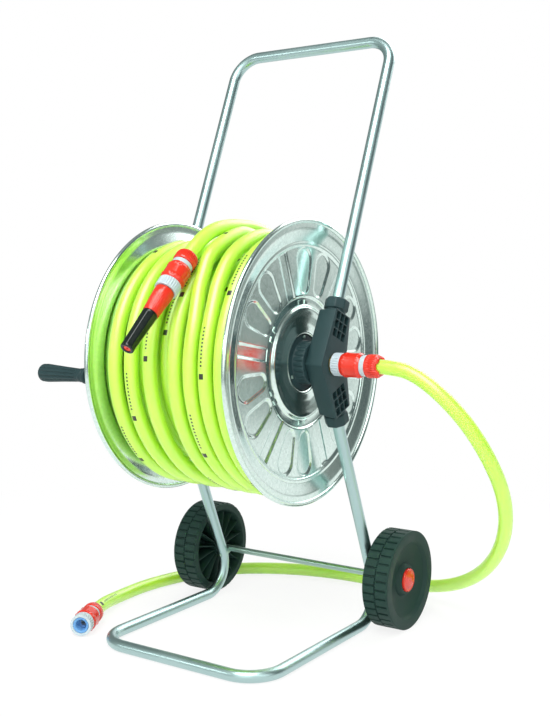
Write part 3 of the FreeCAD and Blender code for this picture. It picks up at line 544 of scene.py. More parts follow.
def makeRoom():
    world = bpy.data.worlds.new("studio")
    scene.world = world
    world.use_nodes = True
    tree = world.node_tree
    tree.nodes.clear()
    add = partial(addNode, tree)
    paths = add("LightPath")
    ways = add("SeparateXYZ", None, {"Vector": (add("TexCoord"), "Generated")})
    leant = add(
        "Math", {"operation": "MULTIPLY_ADD", 1: studio["wallLean"]}, {0: (ways, "Z"), 2: (ways, "Y")})
    corner, toWall = roomShares(add, ways, leant)
    sides = add("Mix", twoTones(studio["side"], studio["dark"]), {0: corner})
    fronts = add("MapRange", softRange(*studio["leftToRight"]), {"Value": (ways, "X")})
    front = add("Mix", twoTones(studio["frontLeft"], studio["frontRight"]), {0: fronts})
    toFront = add("MapRange", softRange(*studio["toFront"]), {"Value": (ways, "Y")})
    rest = add("Mix", {"data_type": "RGBA"}, {0: toFront, 6: (sides, 2), 7: (front, 2)})
    walls = add("Mix", {"data_type": "RGBA", 7: linear(studio["wall"])}, {0: toWall, 6: (rest, 2)})
    room = add("Background", {"Strength": 1.0}, {"Color": (walls, 2)})
    glow = add("Background", {"Color": (1, 1, 1, 1), "Strength": 1.0})
    mixed = add("MixShader", None, {0: (paths, "Is Camera Ray"), 1: room, 2: glow})
    add("OutputWorld", None, {"Surface": mixed})
    scene.view_settings.view_transform = "Standard"


lamps = [
    {"name": "keySoftbox", "place": (0.5, -1.5, 2.7), "aim": (0, 0, 0.4), "size": 1.9, "power": 72},
    {"name": "backSoftbox", "place": (0.3, 2.3, 2.3), "aim": (0, 0, 0.4), "size": 2.2, "power": 45},
    {"name": "frontSoftbox", "place": (0.9, -2.8, 1.2), "aim": (0, 0, 0.35), "size": 2.4, "power": 14},
    {"name": "rightSoftbox", "place": (2.7, -0.9, 1.2), "aim": (0.1, 0, 0.35), "size": 1.6, "power": 10},
    {"name": "leftStrip", "place": (-1.6, -2.3, 1.1), "aim": (0, 0, 0.4), "size": 0.45, "power": 6.5},
]


def makeLamps():
    for lamp in lamps:
        data = bpy.data.lights.new(lamp["name"], "AREA")
        data.energy = lamp["power"]
        data.size = lamp["size"]
        light = bpy.data.objects.new(lamp["name"], data)
        light.location = lamp["place"]
        aim = Vector(lamp["aim"]) - light.location
        light.rotation_euler = aim.to_track_quat("-Z", "Y").to_euler()
        scene.collection.objects.link(light)


makePaper()
makeRoom()
makeLamps()
print("stage and lamps set")


# frame tubes
tubes = {
    "handleReach": 513.0, "handleBend": 40.0, "footBend": 45.0, "frontBend": 50.0, "frontY": -158.0,
    "socketStart": 30.0, "sides": 40,
}


def makeTubes():
    left, right = (hub + axisX * (way * reel["legX"] * mm) for way in (-1, 1))
    low = tubes["socketStart"] * mm
    high = tubes["handleReach"] * mm
    handle = [left + upWay * low, left + upWay * high, right + upWay * high, right + upWay * low]
    points = bentTube(handle, [tubes["handleBend"]] * 2)
    shape, _ = swept(points, reel["tubeRadius"] * mm, tubes["sides"])
    newPiece("handleTube", shape, "frame", ["handle_tube"], "galvanised_tube")
    heelY = (reel["hubHeight"] - reel["tubeRadius"]) * tan(reel["lean"])
    floorZ = reel["tubeRadius"]
    x = reel["legX"]
    y = tubes["frontY"]
    foot = [
        left + downWay * low, spot(-x, heelY, floorZ), spot(-x, y, floorZ), spot(x, y, floorZ),
        spot(x, heelY, floorZ), right + downWay * low,
    ]
    points = bentTube(foot, [tubes["footBend"], tubes["frontBend"], tubes["frontBend"], tubes["footBend"]])
    shape, _ = swept(points, reel["tubeRadius"] * mm, tubes["sides"])
    newPiece("footTube", shape, "frame", ["foot_tube"], "galvanised_tube")


makeTubes()
print("frame tubes bent")


# pressed drum discs; the outline of (radius, x) runs from the hub hole out to the rolled bead, and pressed
# and fine are the radii between which the sheet has grooves and close points
disc = {
    "outline": [
        (31, 105), (39.4, 105), (40.2, 109.6), (42.2, 111.3), (45, 110.3), (56, 108.8), (66, 109.4),
        (74, 111), (77, 111), (80, 107), (91, 107), (93, 110), (161.5, 110), (164.2, 112.3), (166.6, 112.5),
        (169, 112.1), (185, 116.7), (187.5, 117), (194.5, 117)],
    "bend": 2.2, "sheet": 1.2, "beadRadius": 3.6, "beadAt": (197.3, 116.4), "beadSweep": 336.0,
    "beadSteps": 16, "grooveDeep": 1.7, "grooves": 18, "firstGroove": 20.0, "channelHalf": 8.5,
    "channelOut": 160.5, "petalIn": (108.5, 11.5), "petalOut": (142.5, 17.5), "slope": 2.7, "around": 576,
    "pressed": (92.5, 164.0), "fine": (87.0, 165.0), "fineStep": 1.5, "coarseStep": 6.0,
}


# signed distance to a petal's outline, two circles and their tangents
def petalEdge(across, along):
    (near, nearRadius), (far, farRadius) = disc["petalIn"], disc["petalOut"]
    x = abs(across)
    y = along - near
    h = far - near
    b = (nearRadius - farRadius) / h
    a = sqrt(1 - b * b)
    k = -b * x + a * y
    if k < 0:
        return hypot(x, y) - nearRadius
    if k > a * h:
        return hypot(x, y - h) - farRadius
    return a * x + b * y - nearRadius


# every third groove is a channel that runs out from the middle, the others are petals
def pressedDepth(radius, angle):
    low, high = disc["pressed"]
    if not low <= radius < high:
        return 0.0
    step = 2 * pi / disc["grooves"]
    past = angle - radians(disc["firstGroove"])
    number = round(past / step)
    off = past - number * step
    across = radius * sin(off)
    along = radius * cos(off)
    if number % 3 == 0:
        edge = max(abs(across) - disc["channelHalf"], along - disc["channelOut"])
    else:
        edge = petalEdge(across, along)
    return disc["grooveDeep"] * ease(0.5 - edge / disc["slope"])


def makeDisc(name, way, node):
    line = eased([(x, r) for r, x in disc["outline"]], disc["bend"], 4, closed=False)
    low, high = disc["fine"]
    sheet = []
    for start, end in zip(line, line[1:]):
        isFine = low < min(start[1], end[1]) and max(start[1], end[1]) < high
        longest = disc["fineStep"] if isFine else disc["coarseStep"]
        parts = max(1, ceil(dist(start, end) / longest))
        sheet += [tuple(Vector(start).lerp(Vector(end), k / parts)) for k in range(parts)]
    sheet.append(line[-1])
    middle, x = disc["beadAt"]
    bead = []
    for k in range(disc["beadSteps"] + 1):
        angle = radians(disc["beadSweep"] * (0.5 - k / disc["beadSteps"]))
        bead.append((x + disc["beadRadius"] * sin(angle), middle + disc["beadRadius"] * cos(angle)))
    profile = sheet + bead + [(x - disc["sheet"], r) for x, r in reversed(sheet)]
    verts = []
    # the angle runs counter-clockwise from the top, seen from outside on the right
    for step in range(disc["around"]):
        angle = 2 * pi * step / disc["around"]
        for place, radius in profile:
            place -= pressedDepth(radius, angle)
            verts.append(hub + Vector((way * place, -radius * sin(angle), radius * cos(angle))) * mm)
    faces = turnFaces(disc["around"], len(profile))
    newPiece(name, (verts, faces), "drum", [node], "galvanised_sheet", sharp=50)


makeDisc("discRight", 1, "disc_right")
makeDisc("discLeft", -1, "disc_left")
print("discs pressed")


# hose on the drum: an outer layer with the tail that climbs over it, and the layer below it
wound = {
    "firstX": -95.3, "lastX": 95.3, "layLeft": 174.0, "layRight": 179.0, "web": 105.8, "hang": 13.0,
    "turns": 6.4, "shares": (0.017, 0.175, 0.353, 0.579, 0.72, 0.854, 0.988), "start": 95.0, "stepDeg": 2.0,
    "sides": 24, "tailSweep": 211.0, "tailClimb": 90.0, "tailCross": 95.0, "tailLevel": 190.0,
    "tailLift": 22.5, "tailCreep": 0.12, "tailTopX": 7.0, "tailBend": 0.4, "tailSteps": 24, "runIn": 3.0,
    "lowerPitch": 20.9, "lowerDrop": 20.15, "lowerStepDeg": 3.0, "lowerSides": 20,
}
# turns beside the tail: a pair is where a change starts and ends, along X for from and fade, as a share of
# straight up for high, and as a share of straight to the front for back and front
beside = {
    "from": (10.0, 28.0), "topRise": 8.0, "topLoss": 0.4, "topFade": (50.0, 95.0), "topHigh": (0.45, 0.9),
    "underRise": 7.5, "underFade": (38.0, 78.0), "underHigh": (0.0, 0.3), "underBack": (-0.08, 0.17),
    "underFront": (0.74, 0.54), "shift": 13.0, "shiftFade": (30.0, 100.0), "shiftHigh": (0.3, 0.8),
}
shortJoint = (15.0, 28.5, 7.0, 18.0)  # knurled ring, barrel, collar and nut
longJoint = (13.0, 31.0, 7.0, 21.0)


def layRadius(x):
    return wound["layLeft"] + (wound["layRight"] - wound["layLeft"]) * (x + wound["web"]) / (2 * wound["web"])


def onDrum(x, radius, angle):
    return hub + Vector((x, radius * cos(angle), radius * sin(angle))) * mm


# the tail's connector leaves the winding in a straight line from its nearest point
nozzleRest = {"angle": radians(133.5), "tilt": radians(0.5), "x": 6.5, "lift": 18.6, "ahead": 57.5}
restAngle = nozzleRest["angle"]
restRadius = layRadius(nozzleRest["x"]) + nozzleRest["lift"]
restShare = cos(nozzleRest["tilt"])
nozzleWay = Vector((
    -sin(nozzleRest["tilt"]), -sin(restAngle) * restShare, cos(restAngle) * restShare))
nozzleAt = onDrum(nozzleRest["x"], restRadius, restAngle)
nozzleAt = nozzleAt + nozzleWay * (nozzleRest["ahead"] * mm)  # socket face of the connector


# how far along the drum the hose has come, from its place in front at each turn
def shareAt(turn):
    fronts = [(180 - wound["start"] + 360 * k, share) for k, share in enumerate(wound["shares"])]
    knots = [(0.0, 0.0)] + fronts + [(360 * wound["turns"], 1.0)]
    for (start, low), (end, high) in zip(knots, knots[1:]):
        if turn <= end:
            return low + (high - low) * (turn - start) / (end - start)
    return 1.0


def woundAt(turn):
    angle = radians(wound["start"] + turn)
    climb = 360 * wound["turns"]
    high = sin(angle)
    x = wound["firstX"] + (wound["lastX"] - wound["firstX"]) * shareAt(turn)
    radius = layRadius(x) - reel["hoseRadius"] + wound["hang"] * ((1 - high) / 2) ** 2
    if turn < climb:
        # on top, the turns to the right of the tail stand a little proud, and the first one lies against it
        right = rise(x, *beside["from"])
        kept = 1 - beside["topLoss"] * rise(x, *beside["topFade"])
        radius += beside["topRise"] * right * kept * rise(high, *beside["topHigh"])
        # where the tail leaves the winding, the turn beside it follows it up
        front = -cos(angle)
        under = rise(front, *beside["underBack"]) * rise(front, *beside["underFront"])
        under *= rise(high, *beside["underHigh"])
        radius += beside["underRise"] * right * (1 - rise(x, *beside["underFade"])) * under
        x -= beside["shift"] * right * (1 - rise(x, *beside["shiftFade"])) * rise(high, *beside["shiftHigh"])
    else:
        past = turn - climb
        share = rise(past, wound["tailCross"], wound["tailLevel"])
        x = wound["lastX"] + (wound["tailTopX"] - wound["lastX"]) * share
        creep = wound["tailCreep"]
        lift = (1 - creep) * ease(past / wound["tailClimb"]) + creep * past / wound["tailSweep"]
        radius += wound["tailLift"] * lift
    return onDrum(x, radius, angle)


def makeWinding():
    last = 360 * wound["turns"] + wound["tailSweep"]
    count = ceil(last / wound["stepDeg"])
    outer = [woundAt(last * k / count) for k in range(count + 1)]
    # the tail bends into line with its connector and ends inside the nut
    runIn = nozzleAt - nozzleWay * ((sum(shortJoint) + wound["runIn"]) * mm)
    heading = (outer[-1] - outer[-2]).normalized()
    reach = (runIn - outer[-1]).length * wound["tailBend"]
    knots = (outer[-1], outer[-1] + heading * reach, runIn - nozzleWay * reach, runIn)
    for k in range(1, wound["tailSteps"] + 1):
        t = k / wound["tailSteps"]
        weights = ((1 - t) ** 3, 3 * t * (1 - t) ** 2, 3 * t * t * (1 - t), t ** 3)
        outer.append(sum((knot * w for knot, w in zip(knots, weights)), Vector()))
    outer.append(nozzleAt - nozzleWay * ((sum(shortJoint[:3]) + wound["runIn"]) * mm))
    lower = []
    turns = int((wound["lastX"] - wound["firstX"]) / wound["lowerPitch"])
    for k in range(round(turns * 360 / wound["lowerStepDeg"]) + 1):
        turn = wound["lowerStepDeg"] * k
        x = wound["firstX"] + wound["lowerPitch"] * turn / 360
        radius = layRadius(x) - reel["hoseRadius"] - wound["lowerDrop"]
        lower.append(onDrum(x, radius, radians(wound["start"] + 180 + turn)))
    for name, points, sides, node in (
        ("woundHose", outer, wound["sides"], "hose_outer_turns"),
        ("lowerHose", lower, wound["lowerSides"], "hose_core"),
    ):
        outward = [Vector((0, point.y - hub.y, point.z - hub.z)) for point in points]
        shape, strip = swept(points, reel["hoseRadius"] * mm, sides, outward)
        newPiece(name, shape, "drum", [node], "hose_green", strip=strip)


makeWinding()
print("hose wound")


# feed hose on the floor, from the inlet to its own connector; the route's points in millimetres
feed = {
    "length": 1.413, "sides": 28, "printAway": (0.2, 0.6, 0.5),
    "route": [
        (214.6, 0, 410), (255, 0, 410), (286, -0.7, 400.4), (321, -1, 377), (351, 12, 341), (370, 39, 294),
        (375, 79, 241), (361, 127, 184), (329, 177, 128), (280, 227, 78), (216, 270, 40), (139, 303, 18),
        (52, 320, 10), (-42, 317, 10), (-130, 288, 10), (-201, 237, 10), (-238, 165, 10), (-257, 84, 10),
        (-253, 6, 10), (-231.34, -57.55, 17.5), (-211.54, -97.96, 17.5)],
}


def makeFeedHose():
    curve = bpy.data.curves.new("feedRoute", "CURVE")
    curve.dimensions = "3D"
    curve.resolution_u = 16
    spline = curve.splines.new("NURBS")
    spline.points.add(len(feed["route"]) - 1)
    for point, place in zip(spline.points, feed["route"]):
        point.co = (*spot(*place), 1)
    spline.order_u = 3
    spline.use_endpoint_u = True
    guide = bpy.data.objects.new("feedRoute", curve)
    scene.collection.objects.link(guide)
    line = bpy.data.meshes.new_from_object(guide)
    points = [v.co.copy() for v in line.vertices]
    bpy.data.objects.remove(guide)
    bpy.data.meshes.remove(line)
    outward = [Vector(feed["printAway"])] * len(points)
    shape, strip = swept(points, reel["hoseRadius"] * mm, feed["sides"], outward)
    piece = newPiece("feedHose", shape, "frame", ["feed_hose"], "hose_green", strip=strip)
    return piece, points


feedHose, feedLine = makeFeedHose()
print("feed hose laid:", len(feedLine), "points")


# quick connectors: knurled ring, barrel with grip dots, collar, hose nut with claws
joint = {
    "ringRadius": 16.0, "barrelRadius": 17.5, "collarRadius": 14.5, "nutRadius": 16.2, "slideRadius": 12.05,
    "coreRadius": 12.0, "socketRadius": 8.1, "socketEnd": 16.5, "waterRadius": 4.5, "recessDeep": 5.5,
    "dots": 18, "dotRows": (0.2, 0.84), "dotHigh": 0.6, "claws": 4, "clawLong": 8.0,
    "knurl": {"count": 28, "deep": 1.2, "wide": 1.5, "runOut": 0.8},
    "flute": {"count": 32, "deep": 1.1, "wide": 1.5, "runOut": 2.0},
}


def makeJoint(name, at, along, sizes, body, sleeveBody, clawDeep):
    ringLong, barrelLong, collarLong, nutLong = sizes
    end = ringLong + barrelLong
    nutAt = end + collarLong
    slide = joint["slideRadius"]
    r = joint["ringRadius"]
    ring = divided(eased([(0, slide), (0, r), (ringLong, r), (ringLong, slide)], 0.9), 2.2)
    knurled = grooved(joint["knurl"], 1.0, ringLong - 0.6, r - 1.0)
    shape = spun(ring, joint["knurl"]["count"] * 8, at, along, knurled)
    newPiece(name + "Ring", shape, sleeveBody, [name + "_ring"], "grey_plastic", sharp=55)

    wide = joint["barrelRadius"]
    flange = joint["collarRadius"]
    recess = flange + 0.3
    deep = joint["recessDeep"]
    barrel = eased([
        (ringLong, wide - 1.9), (ringLong + 1.5, wide - 0.8), (ringLong + 5.0, wide), (end - 5.0, wide),
        (end - 2.0, wide - 0.8), (end, recess + 0.9), (end, recess), (end - deep, recess),
        (end - deep, slide), (ringLong, slide)], 0.8)
    step = 2 * pi / joint["dots"]
    rows = [ringLong + barrelLong * share for share in joint["dotRows"]]

    def dotted(place, radius, angle):
        if radius < wide - 2.2:
            return place, radius
        off = (angle + step / 2) % step - step / 2
        raised = max(ease(1.35 - hypot((place - row) * 0.75, off * radius * 0.62) / 1.5) for row in rows)
        return place, radius - joint["dotHigh"] * (1 - raised)

    shape = spun(divided(barrel, 1.0), joint["dots"] * 12, at, along, dotted)
    newPiece(name + "Barrel", shape, sleeveBody, [name + "_sleeve"], "red_plastic", sharp=60)

    socket, inside = joint["socketRadius"], joint["coreRadius"]
    socketEnd, water = joint["socketEnd"], joint["waterRadius"]
    core = [
        (1.5, socket), (1.5, inside), (end - 1.2, inside), (end - 1.2, flange - 0.5), (end - 0.6, flange),
        (nutAt - 0.4, flange), (nutAt, flange - 0.4), (nutAt, 9.5), (nutAt + 3, 9.5), (nutAt + 3, water),
        (socketEnd, water), (socketEnd, socket)]
    shape = spun(eased(core, 0.4, 2), 64, at, along)
    newPiece(name + "Core", shape, body, [name + "_core"], "grey_plastic")

    grip = joint["nutRadius"]
    tail = nutAt + nutLong
    nut = eased([
        (nutAt, 10.2), (nutAt, grip - 0.8), (nutAt + 2.4, grip), (tail - 7, grip - 0.2),
        (tail - 2.5, grip - 1.2), (tail, grip - 3.4), (tail, 10.2)], 1.6)
    flute = grooved(joint["flute"], nutAt + 4.5, tail - 1.5, grip - 2.2)
    clawFrom = tail - joint["clawLong"]

    def fluted(place, radius, angle):
        if place > clawFrom:
            claw = ease((0.5 + 0.5 * cos(joint["claws"] * angle)) * 1.5)
            place -= (place - clawFrom) / joint["clawLong"] * clawDeep * claw
        return flute(place, radius, angle)

    shape = spun(divided(nut, 1.6), joint["flute"]["count"] * 8, at, along, fluted)
    newPiece(name + "Nut", shape, body, [name + "_nut"], "red_plastic", sharp=55)


inletAt = spot(160.6, 0, reel["hubHeight"])
floorAt = spot(-188, -146, 17.5)
floorWay = Vector((0.44, -0.898, 0)).normalized()
makeJoint("inlet", inletAt, axisX, longJoint, "frame", "inlet_sleeve", 2.6)
makeJoint("tail", nozzleAt, -nozzleWay, shortJoint, "drum", "tail_sleeve", 0.5)
makeJoint("floor", floorAt, -floorWay, shortJoint, "frame", "floor_sleeve", 1.5)
# the blue seal lines the open socket of the floor connector
seal = eased([
    (0.5, 9.4), (0.5, 11.3), (0.8, 11.7), (1.5, 11.7), (1.5, 8.05), (15.5, 8.05), (15.5, 5.2), (16.3, 5.2),
    (16.3, 4.6), (14.4, 4.6), (13.6, 6.6), (3.2, 7.75), (1.4, 8.4)], 0.25, 2)
newPiece("floorSeal", spun(seal, 56, floorAt, -floorWay), "frame", ["floor_insert"], "blue_rubber")
print("connectors turned")


# spray nozzle: body plugged into the tail's connector, and a tip that twists on it
nozzle = {
    "long": 41.5, "tipLong": 62.5, "ribs": {"count": 36, "deep": 0.2, "wide": 1.5, "runOut": 1.5},
    "ribsFrom": 12.5, "ribsTo": 39.0, "flats": 8, "flatDeep": 1.02,
}


def makeNozzle():
    bodyLong = nozzle["long"]
    stemEnd = bodyLong + nozzle["tipLong"] - 1.2
    body = eased([
        (-14, 3.5), (-14, 8), (0.3, 8), (0.3, 12.9), (1.4, 13.8), (9.5, 13.8), (12, 13.5), (26, 12.4),
        (39.5, 11.6), (bodyLong, 11.3), (bodyLong, 5), (stemEnd, 5), (stemEnd, 1.4), (stemEnd - 4, 1.4),
        (stemEnd - 4, 3.5)], 0.6)
    ribbed = grooved(nozzle["ribs"], nozzle["ribsFrom"], nozzle["ribsTo"], 11)
    shape = spun(divided(body, 2.5), nozzle["ribs"]["count"] * 8, nozzleAt, nozzleWay, ribbed)
    newPiece("nozzleBody", shape, "drum", ["nozzle_body"], "red_plastic", sharp=55)
    low = bodyLong + 0.3
    high = bodyLong + nozzle["tipLong"]
    tip = eased([
        (low, 5.05), (low, 10.8), (low + 0.6, 11.2), (low + 4, 11.2), (high - 3, 9.5), (high - 0.8, 9.2),
        (high, 8.3), (high, 6.0), (high - 0.6, 5.05)], 0.4)
    side = 2 * pi / nozzle["flats"]

    # flats along the tip catch the light as long bright lines
    def flattened(place, radius, angle):
        if radius > 7.5 and low + 1 < place < high - 1.0:
            off = (angle + side / 2) % side - side / 2
            flat = radius * cos(side / 2) * nozzle["flatDeep"] / cos(off)
            radius -= (radius - min(radius, flat)) * ease(min(place - low - 1, high - 1.0 - place) / 3)
        return place, radius

    shape = spun(divided(tip, 2.5), nozzle["flats"] * 20, nozzleAt, nozzleWay, flattened)
    newPiece("nozzleTip", shape, "nozzle_tip", ["nozzle_tip"], "black_plastic", sharp=55, material=blackAbs)


makeNozzle()
print("nozzle turned")


# wheels: two rows of tread blocks, a dished outer face, ribs inside, and a cap; blockHalf and blockSlope are
# shares of the step from block to block
wheel = {
    "radius": 74.0, "wide": 42.6, "inX": 155.7, "axleY": 156.97, "lugs": 36, "lugHigh": 4.0,
    "grooveDeep": 2.6, "blockHalf": 0.405, "blockSlope": 0.05, "innerRow": (3.4, 19.6),
    "outerRow": (23.0, 38.4), "rowSteps": 6, "treadMiddle": 21.3, "treadEnd": 39.8, "chamferLong": 2.5,
    "chamferDeep": 2.6, "bore": 5.05, "capSeat": 6.6, "capRadius": 17.5, "ribs": 16,
}


def makeWheel(name, way, body):
    at = spot(way * wheel["inX"], wheel["axleY"], wheel["radius"])
    along = axisX * way
    wide = wheel["wide"]
    r = wheel["radius"]
    rim = r - wheel["lugHigh"]
    bore = wheel["bore"]
    seat = wide - wheel["capSeat"]
    steps = wheel["rowSteps"]
    rows = (wheel["innerRow"], wheel["outerRow"])
    inner, outer = ([low + (high - low) * k / steps for k in range(steps + 1)] for low, high in rows)
    tread = [0.0, 0.6, 2.2, 2.8] + inner + [20.2, 20.8, 21.8, 22.4] + outer + [39.0, 39.6, 41.2, 42.2]
    profile = [
        (-2.2, bore), (-2.2, 13), (-1.2, 14), (wide * 0.6, 14), (wide * 0.66, 18), (wide * 0.66, rim - 15),
        (wide * 0.6, rim - 12), (1.0, rim - 8.4), (0.0, rim - 7.5)]
    profile += [(place, r) for place in tread]
    profile += [
        (wide, r - 0.8), (wide, r - 2), (wide, rim - 11), (wide - 0.6, rim - 12.2),
        (wide - 5.2, rim - 14.2), (wide - 6.2, rim - 15.8), (wide - 12.5, 32), (wide - 11.5, 26),
        (wide - 6.0, 22.5), (wide - 4.4, 20.6), (wide - 4.2, 18.2), (wide - 4.6, 17.6), (seat, 17.55),
        (seat, bore)]
    step = 2 * pi / wheel["lugs"]

    def treaded(place, radius, angle):
        if radius < r - 0.5 or place > 41.5:
            return place, radius
        off = 0.0 if place < wide / 2 else 0.5
        phase = abs(((angle / step + off + 0.5) % 1.0) - 0.5)
        block = ease((wheel["blockHalf"] - phase) / wheel["blockSlope"] + 0.5)
        if place < wheel["chamferLong"]:
            chamfer = wheel["chamferDeep"] * (1 - ease(place / wheel["chamferLong"])) ** 2
            return place, radius - max(chamfer, wheel["grooveDeep"] * (1 - block))
        middle = ease((abs(place - wheel["treadMiddle"]) - 0.3) / 0.7)
        high = ease(wheel["treadEnd"] - place)
        return place, radius - wheel["grooveDeep"] * (1 - block * middle) * high

    shape = spun(profile, wheel["lugs"] * 14, at, along, treaded)
    newPiece(name, shape, body, [body], "wheel_plastic", sharp=40)
    verts = []
    faces = []
    turn = Vector((0, 0, 1)).rotation_difference(along)
    for number in range(wheel["ribs"]):
        angle = 2 * pi * (number + 0.5) / wheel["ribs"]
        out = Vector((cos(angle), sin(angle), 0))
        across = Vector((-sin(angle), cos(angle), 0))
        base = len(verts)
        for depth, half in ((3.4, 0.7), (3.0, 0.4), (wide * 0.64, 1.2)):
            for reach in (13.2, rim - 9.5 - depth * 0.16):
                for flank in (-1, 1):
                    corner = out * reach + across * (flank * half) + Vector((0, 0, depth))
                    verts.append(at + turn @ corner * mm)
        a, b, c = (range(base + k, base + k + 4) for k in (4, 0, 8))
        for one, two in ((a, b), (b, c)):
            for i, j in ((0, 1), (1, 3), (3, 2), (2, 0)):
                faces.append((one[i], one[j], two[j], two[i]))
        faces.append((a[0], a[1], a[3], a[2]))
        faces.append((c[0], c[1], c[3], c[2]))
    newPiece(name + "Ribs", (verts, faces), body, [], "wheel_plastic")
    c = wheel["capRadius"]
    cap = eased([
        (seat, 11.5), (seat, c), (seat + 4.4, c), (seat + 5.6, c - 1.0), (seat + 6.0, c - 2.2),
        (seat + 5.5, c - 3.2), (seat + 6.2, 9), (seat + 6.5, 0.0), (seat + 5, 0.0),
        (seat + 4.4, 11.5)], 0.7)
    capNode = "wheel_cap_" + ("right" if way > 0 else "left")
    newPiece(name + "Cap", spun(cap, 72, at, along), body, [capNode], "red_plastic", sharp=45)


makeWheel("wheelLeft", -1, "wheel_left")
makeWheel("wheelRight", 1, "wheel_right")
print("wheels moulded")


# side brackets with rib pockets, clamp collars, drum hubs
bracket = {
    "inX": 126.5, "outX": 158.5, "reach": 74.0, "half": 16.5, "flare": 8.0, "nose": 25.0, "waist": 33.0,
    "cell": 10.0, "long": 11.0, "rib": 1.6, "deep": 5.0, "edge": 1.1,
}
collar = {"flats": 32.5, "long": 21.0, "neck": 4.0, "neckRadius": 14.6, "bore": 8.6, "cornerOut": 1.068}
drumHub = {"ribs": {"count": 24, "deep": 1.6, "wide": 1.6, "runOut": 1.2}, "ribsFrom": 110.5, "ribsTo": 125.5}


def makeBracket(name, way, bore, node):
    sine, cosine = sin(reel["lean"]), cos(reel["lean"])
    up, upSide = Vector((sine, cosine)), Vector((cosine, -sine))
    down, downSide = Vector((sine, -cosine)), Vector((cosine, sine))
    middle = Vector((0, reel["hubHeight"]))
    reach, half = bracket["reach"], bracket["half"]
    cell, long, rib = bracket["cell"], bracket["long"], bracket["rib"]
    outlines = []
    for flare in (0.0, bracket["flare"]):
        tip = up * reach - upSide * half
        edge = tip + Vector((bracket["nose"], 0))
        flared = tip - upSide * flare
        nose = flared - edge * (flared.y / edge.y)
        outline = [
            nose, down * reach - downSide * (half + flare), down * reach + downSide * half,
            Vector((bracket["waist"], 0)), up * reach + upSide * half, flared]
        outlines.append(eased([tuple(middle + p) for p in outline], 2.4, 4))
    pockets = []
    for along, across in ((up, upSide), (down, downSide)):
        for row in range(3):
            far = reach - rib * 1.4 - row * (long + rib)
            for column in (-1, 0, 1):
                off = column * (cell + rib) - bracket["flare"] / 2
                corners = [
                    middle + along * a + across * (off + b * cell / 2) for a,
                    b in ((far, -1), (far, 1), (far - long, 1), (far - long, -1))]
                pockets.append((eased([tuple(p) for p in corners], 0.9, 2), bracket["deep"]))
    holes = [circle(0, reel["hubHeight"], bore)]
    shape = plateWithHoles(
        outlines, holes, way * bracket["inX"], way * bracket["outX"], bracket["edge"], pockets)
    newPiece(name, shape, "frame", [node], "black_plastic", sharp=42)


def makeCollar(name, way, along, node):
    flat = collar["flats"] / 2
    high = collar["long"]
    neck, neckRadius, bore = collar["neck"], collar["neckRadius"], collar["bore"]

    def octagon(place, radius, angle):
        if radius < flat - 3:
            return place, radius
        off = (angle + pi / 8) % (pi / 4) - pi / 8
        return place, radius * (1.0 if place < neck else min(1 / cos(off), collar["cornerOut"]))

    profile = eased([
        (0, bore), (0, neckRadius), (neck - 0.4, neckRadius), (neck + 0.6, flat - 0.5), (neck + 1.4, flat),
        (high - 2.6, flat), (high - 1.0, flat - 1.2), (high, flat - 3.2), (high, 9.6),
        (high - 1.0, bore)], 0.5, 2)
    at = hub + axisX * (way * reel["legX"] * mm) + along * (bracket["reach"] * mm)
    newPiece(name, spun(profile, 96, at, along, octagon), "frame", [node], "black_plastic", sharp=30)


def makeHub(name, way, bore, node):
    profile = eased([
        (88, bore), (88, 30.8), (105, 30.8), (105, 39), (108.2, 39), (109, 38.2), (109, 31.5), (110, 30.2),
        (124.6, 30), (126.1, 28.6), (126.1, bore)], 0.7)
    ribbed = grooved(drumHub["ribs"], drumHub["ribsFrom"], drumHub["ribsTo"], 29)
    shape = spun(divided(profile, 3.0), drumHub["ribs"]["count"] * 10, hub, axisX * way, ribbed)
    newPiece(name, shape, "drum", [node], "black_plastic", sharp=45)


makeBracket("bracketRight", 1, 11.05, "bracket_right")
makeBracket("bracketLeft", -1, 12.05, "bracket_left")
for sideName, way in (("Left", -1), ("Right", 1)):
    for armName, along in (("Upper", upWay), ("Lower", downWay)):
        makeCollar("collar" + armName + sideName, way, along, ("collar_%s_%s" % (armName, sideName)).lower())
makeHub("hubRight", 1, 11.05, "hub_right")
makeHub("hubLeft", -1, 8.05, "hub_left")
print("brackets, collars and hubs moulded")


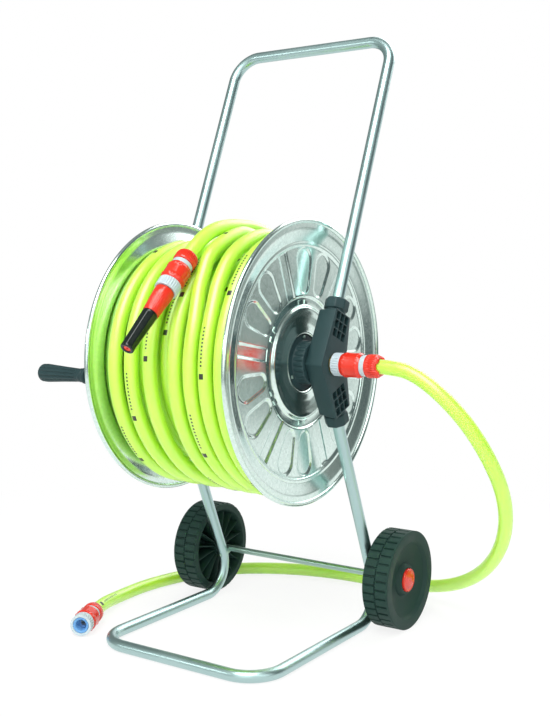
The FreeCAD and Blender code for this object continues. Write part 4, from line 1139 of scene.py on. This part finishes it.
# crank arm with its turning grip
crank = {
    "armIn": 161.3, "armOut": 167.3, "armEdge": 1.2, "reach": 150.0, "drop": radians(8.0), "wideHub": 15.0,
    "wideGrip": 12.0, "hubBore": 5.4, "gripBore": 4.05, "gripFrom": 168.8, "gripLong": 84.0,
    "ribsFrom": 10.0, "ribs": {"count": 12, "deep": 1.3, "wide": 1.8, "runOut": 4.0}, "arcSteps": 16,
}


def makeCrank():
    way = Vector((-cos(crank["drop"]), -sin(crank["drop"])))
    across = Vector((-way.y, way.x))
    middle = Vector((0, reel["hubHeight"]))
    lean = asin((crank["wideGrip"] - crank["wideHub"]) / crank["reach"])
    outline = []
    for at, radius, start, sweep in (
        (0.0, crank["wideHub"], pi / 2 - lean, pi + 2 * lean),
        (crank["reach"], crank["wideGrip"], -pi / 2 - lean, pi - 2 * lean),
    ):
        for k in range(crank["arcSteps"] + 1):
            angle = start + sweep * k / crank["arcSteps"]
            point = middle + way * (at + radius * cos(angle)) + across * (radius * sin(angle))
            outline.append(tuple(point))
    gripAt = middle + way * crank["reach"]
    bore = crank["gripBore"]
    holes = [circle(0, reel["hubHeight"], crank["hubBore"]), circle(gripAt.x, gripAt.y, bore)]
    shape = plateWithHoles([outline, outline], holes, -crank["armIn"], -crank["armOut"], crank["armEdge"])
    newPiece("crankArm", shape, "drum", ["crank_arm"], "black_plastic", sharp=45)
    end = crank["gripLong"]
    profile = eased([
        (0, bore), (0, 9), (1.5, 10), (6, 10.2), (7.5, 9.2), (9.5, 9.6), (end * 0.45, 11.1),
        (end * 0.86, 13.4), (end - 3, 12.9), (end, 10.4), (end, 7.5), (end - 5, 7.5), (end - 5, bore)], 1.2)
    ribbed = grooved(crank["ribs"], crank["ribsFrom"], end - 4, 8)
    at = spot(-crank["gripFrom"], gripAt.x, gripAt.y)
    shape = spun(divided(profile, 4.0), crank["ribs"]["count"] * 16, at, -axisX, ribbed)
    newPiece("crankGrip", shape, "crank_grip", ["crank_grip"], "black_plastic", sharp=50)


makeCrank()
print("crank made")


# the nodes that no piece replaces keep their CAD shape and get the finish of their slot
for part in frame["record"]["subparts"]:
    node = frame["nodes"][part["node"]]
    node.data.materials.clear()
    node.data.materials.append(finishOf[part["material_slot"]])
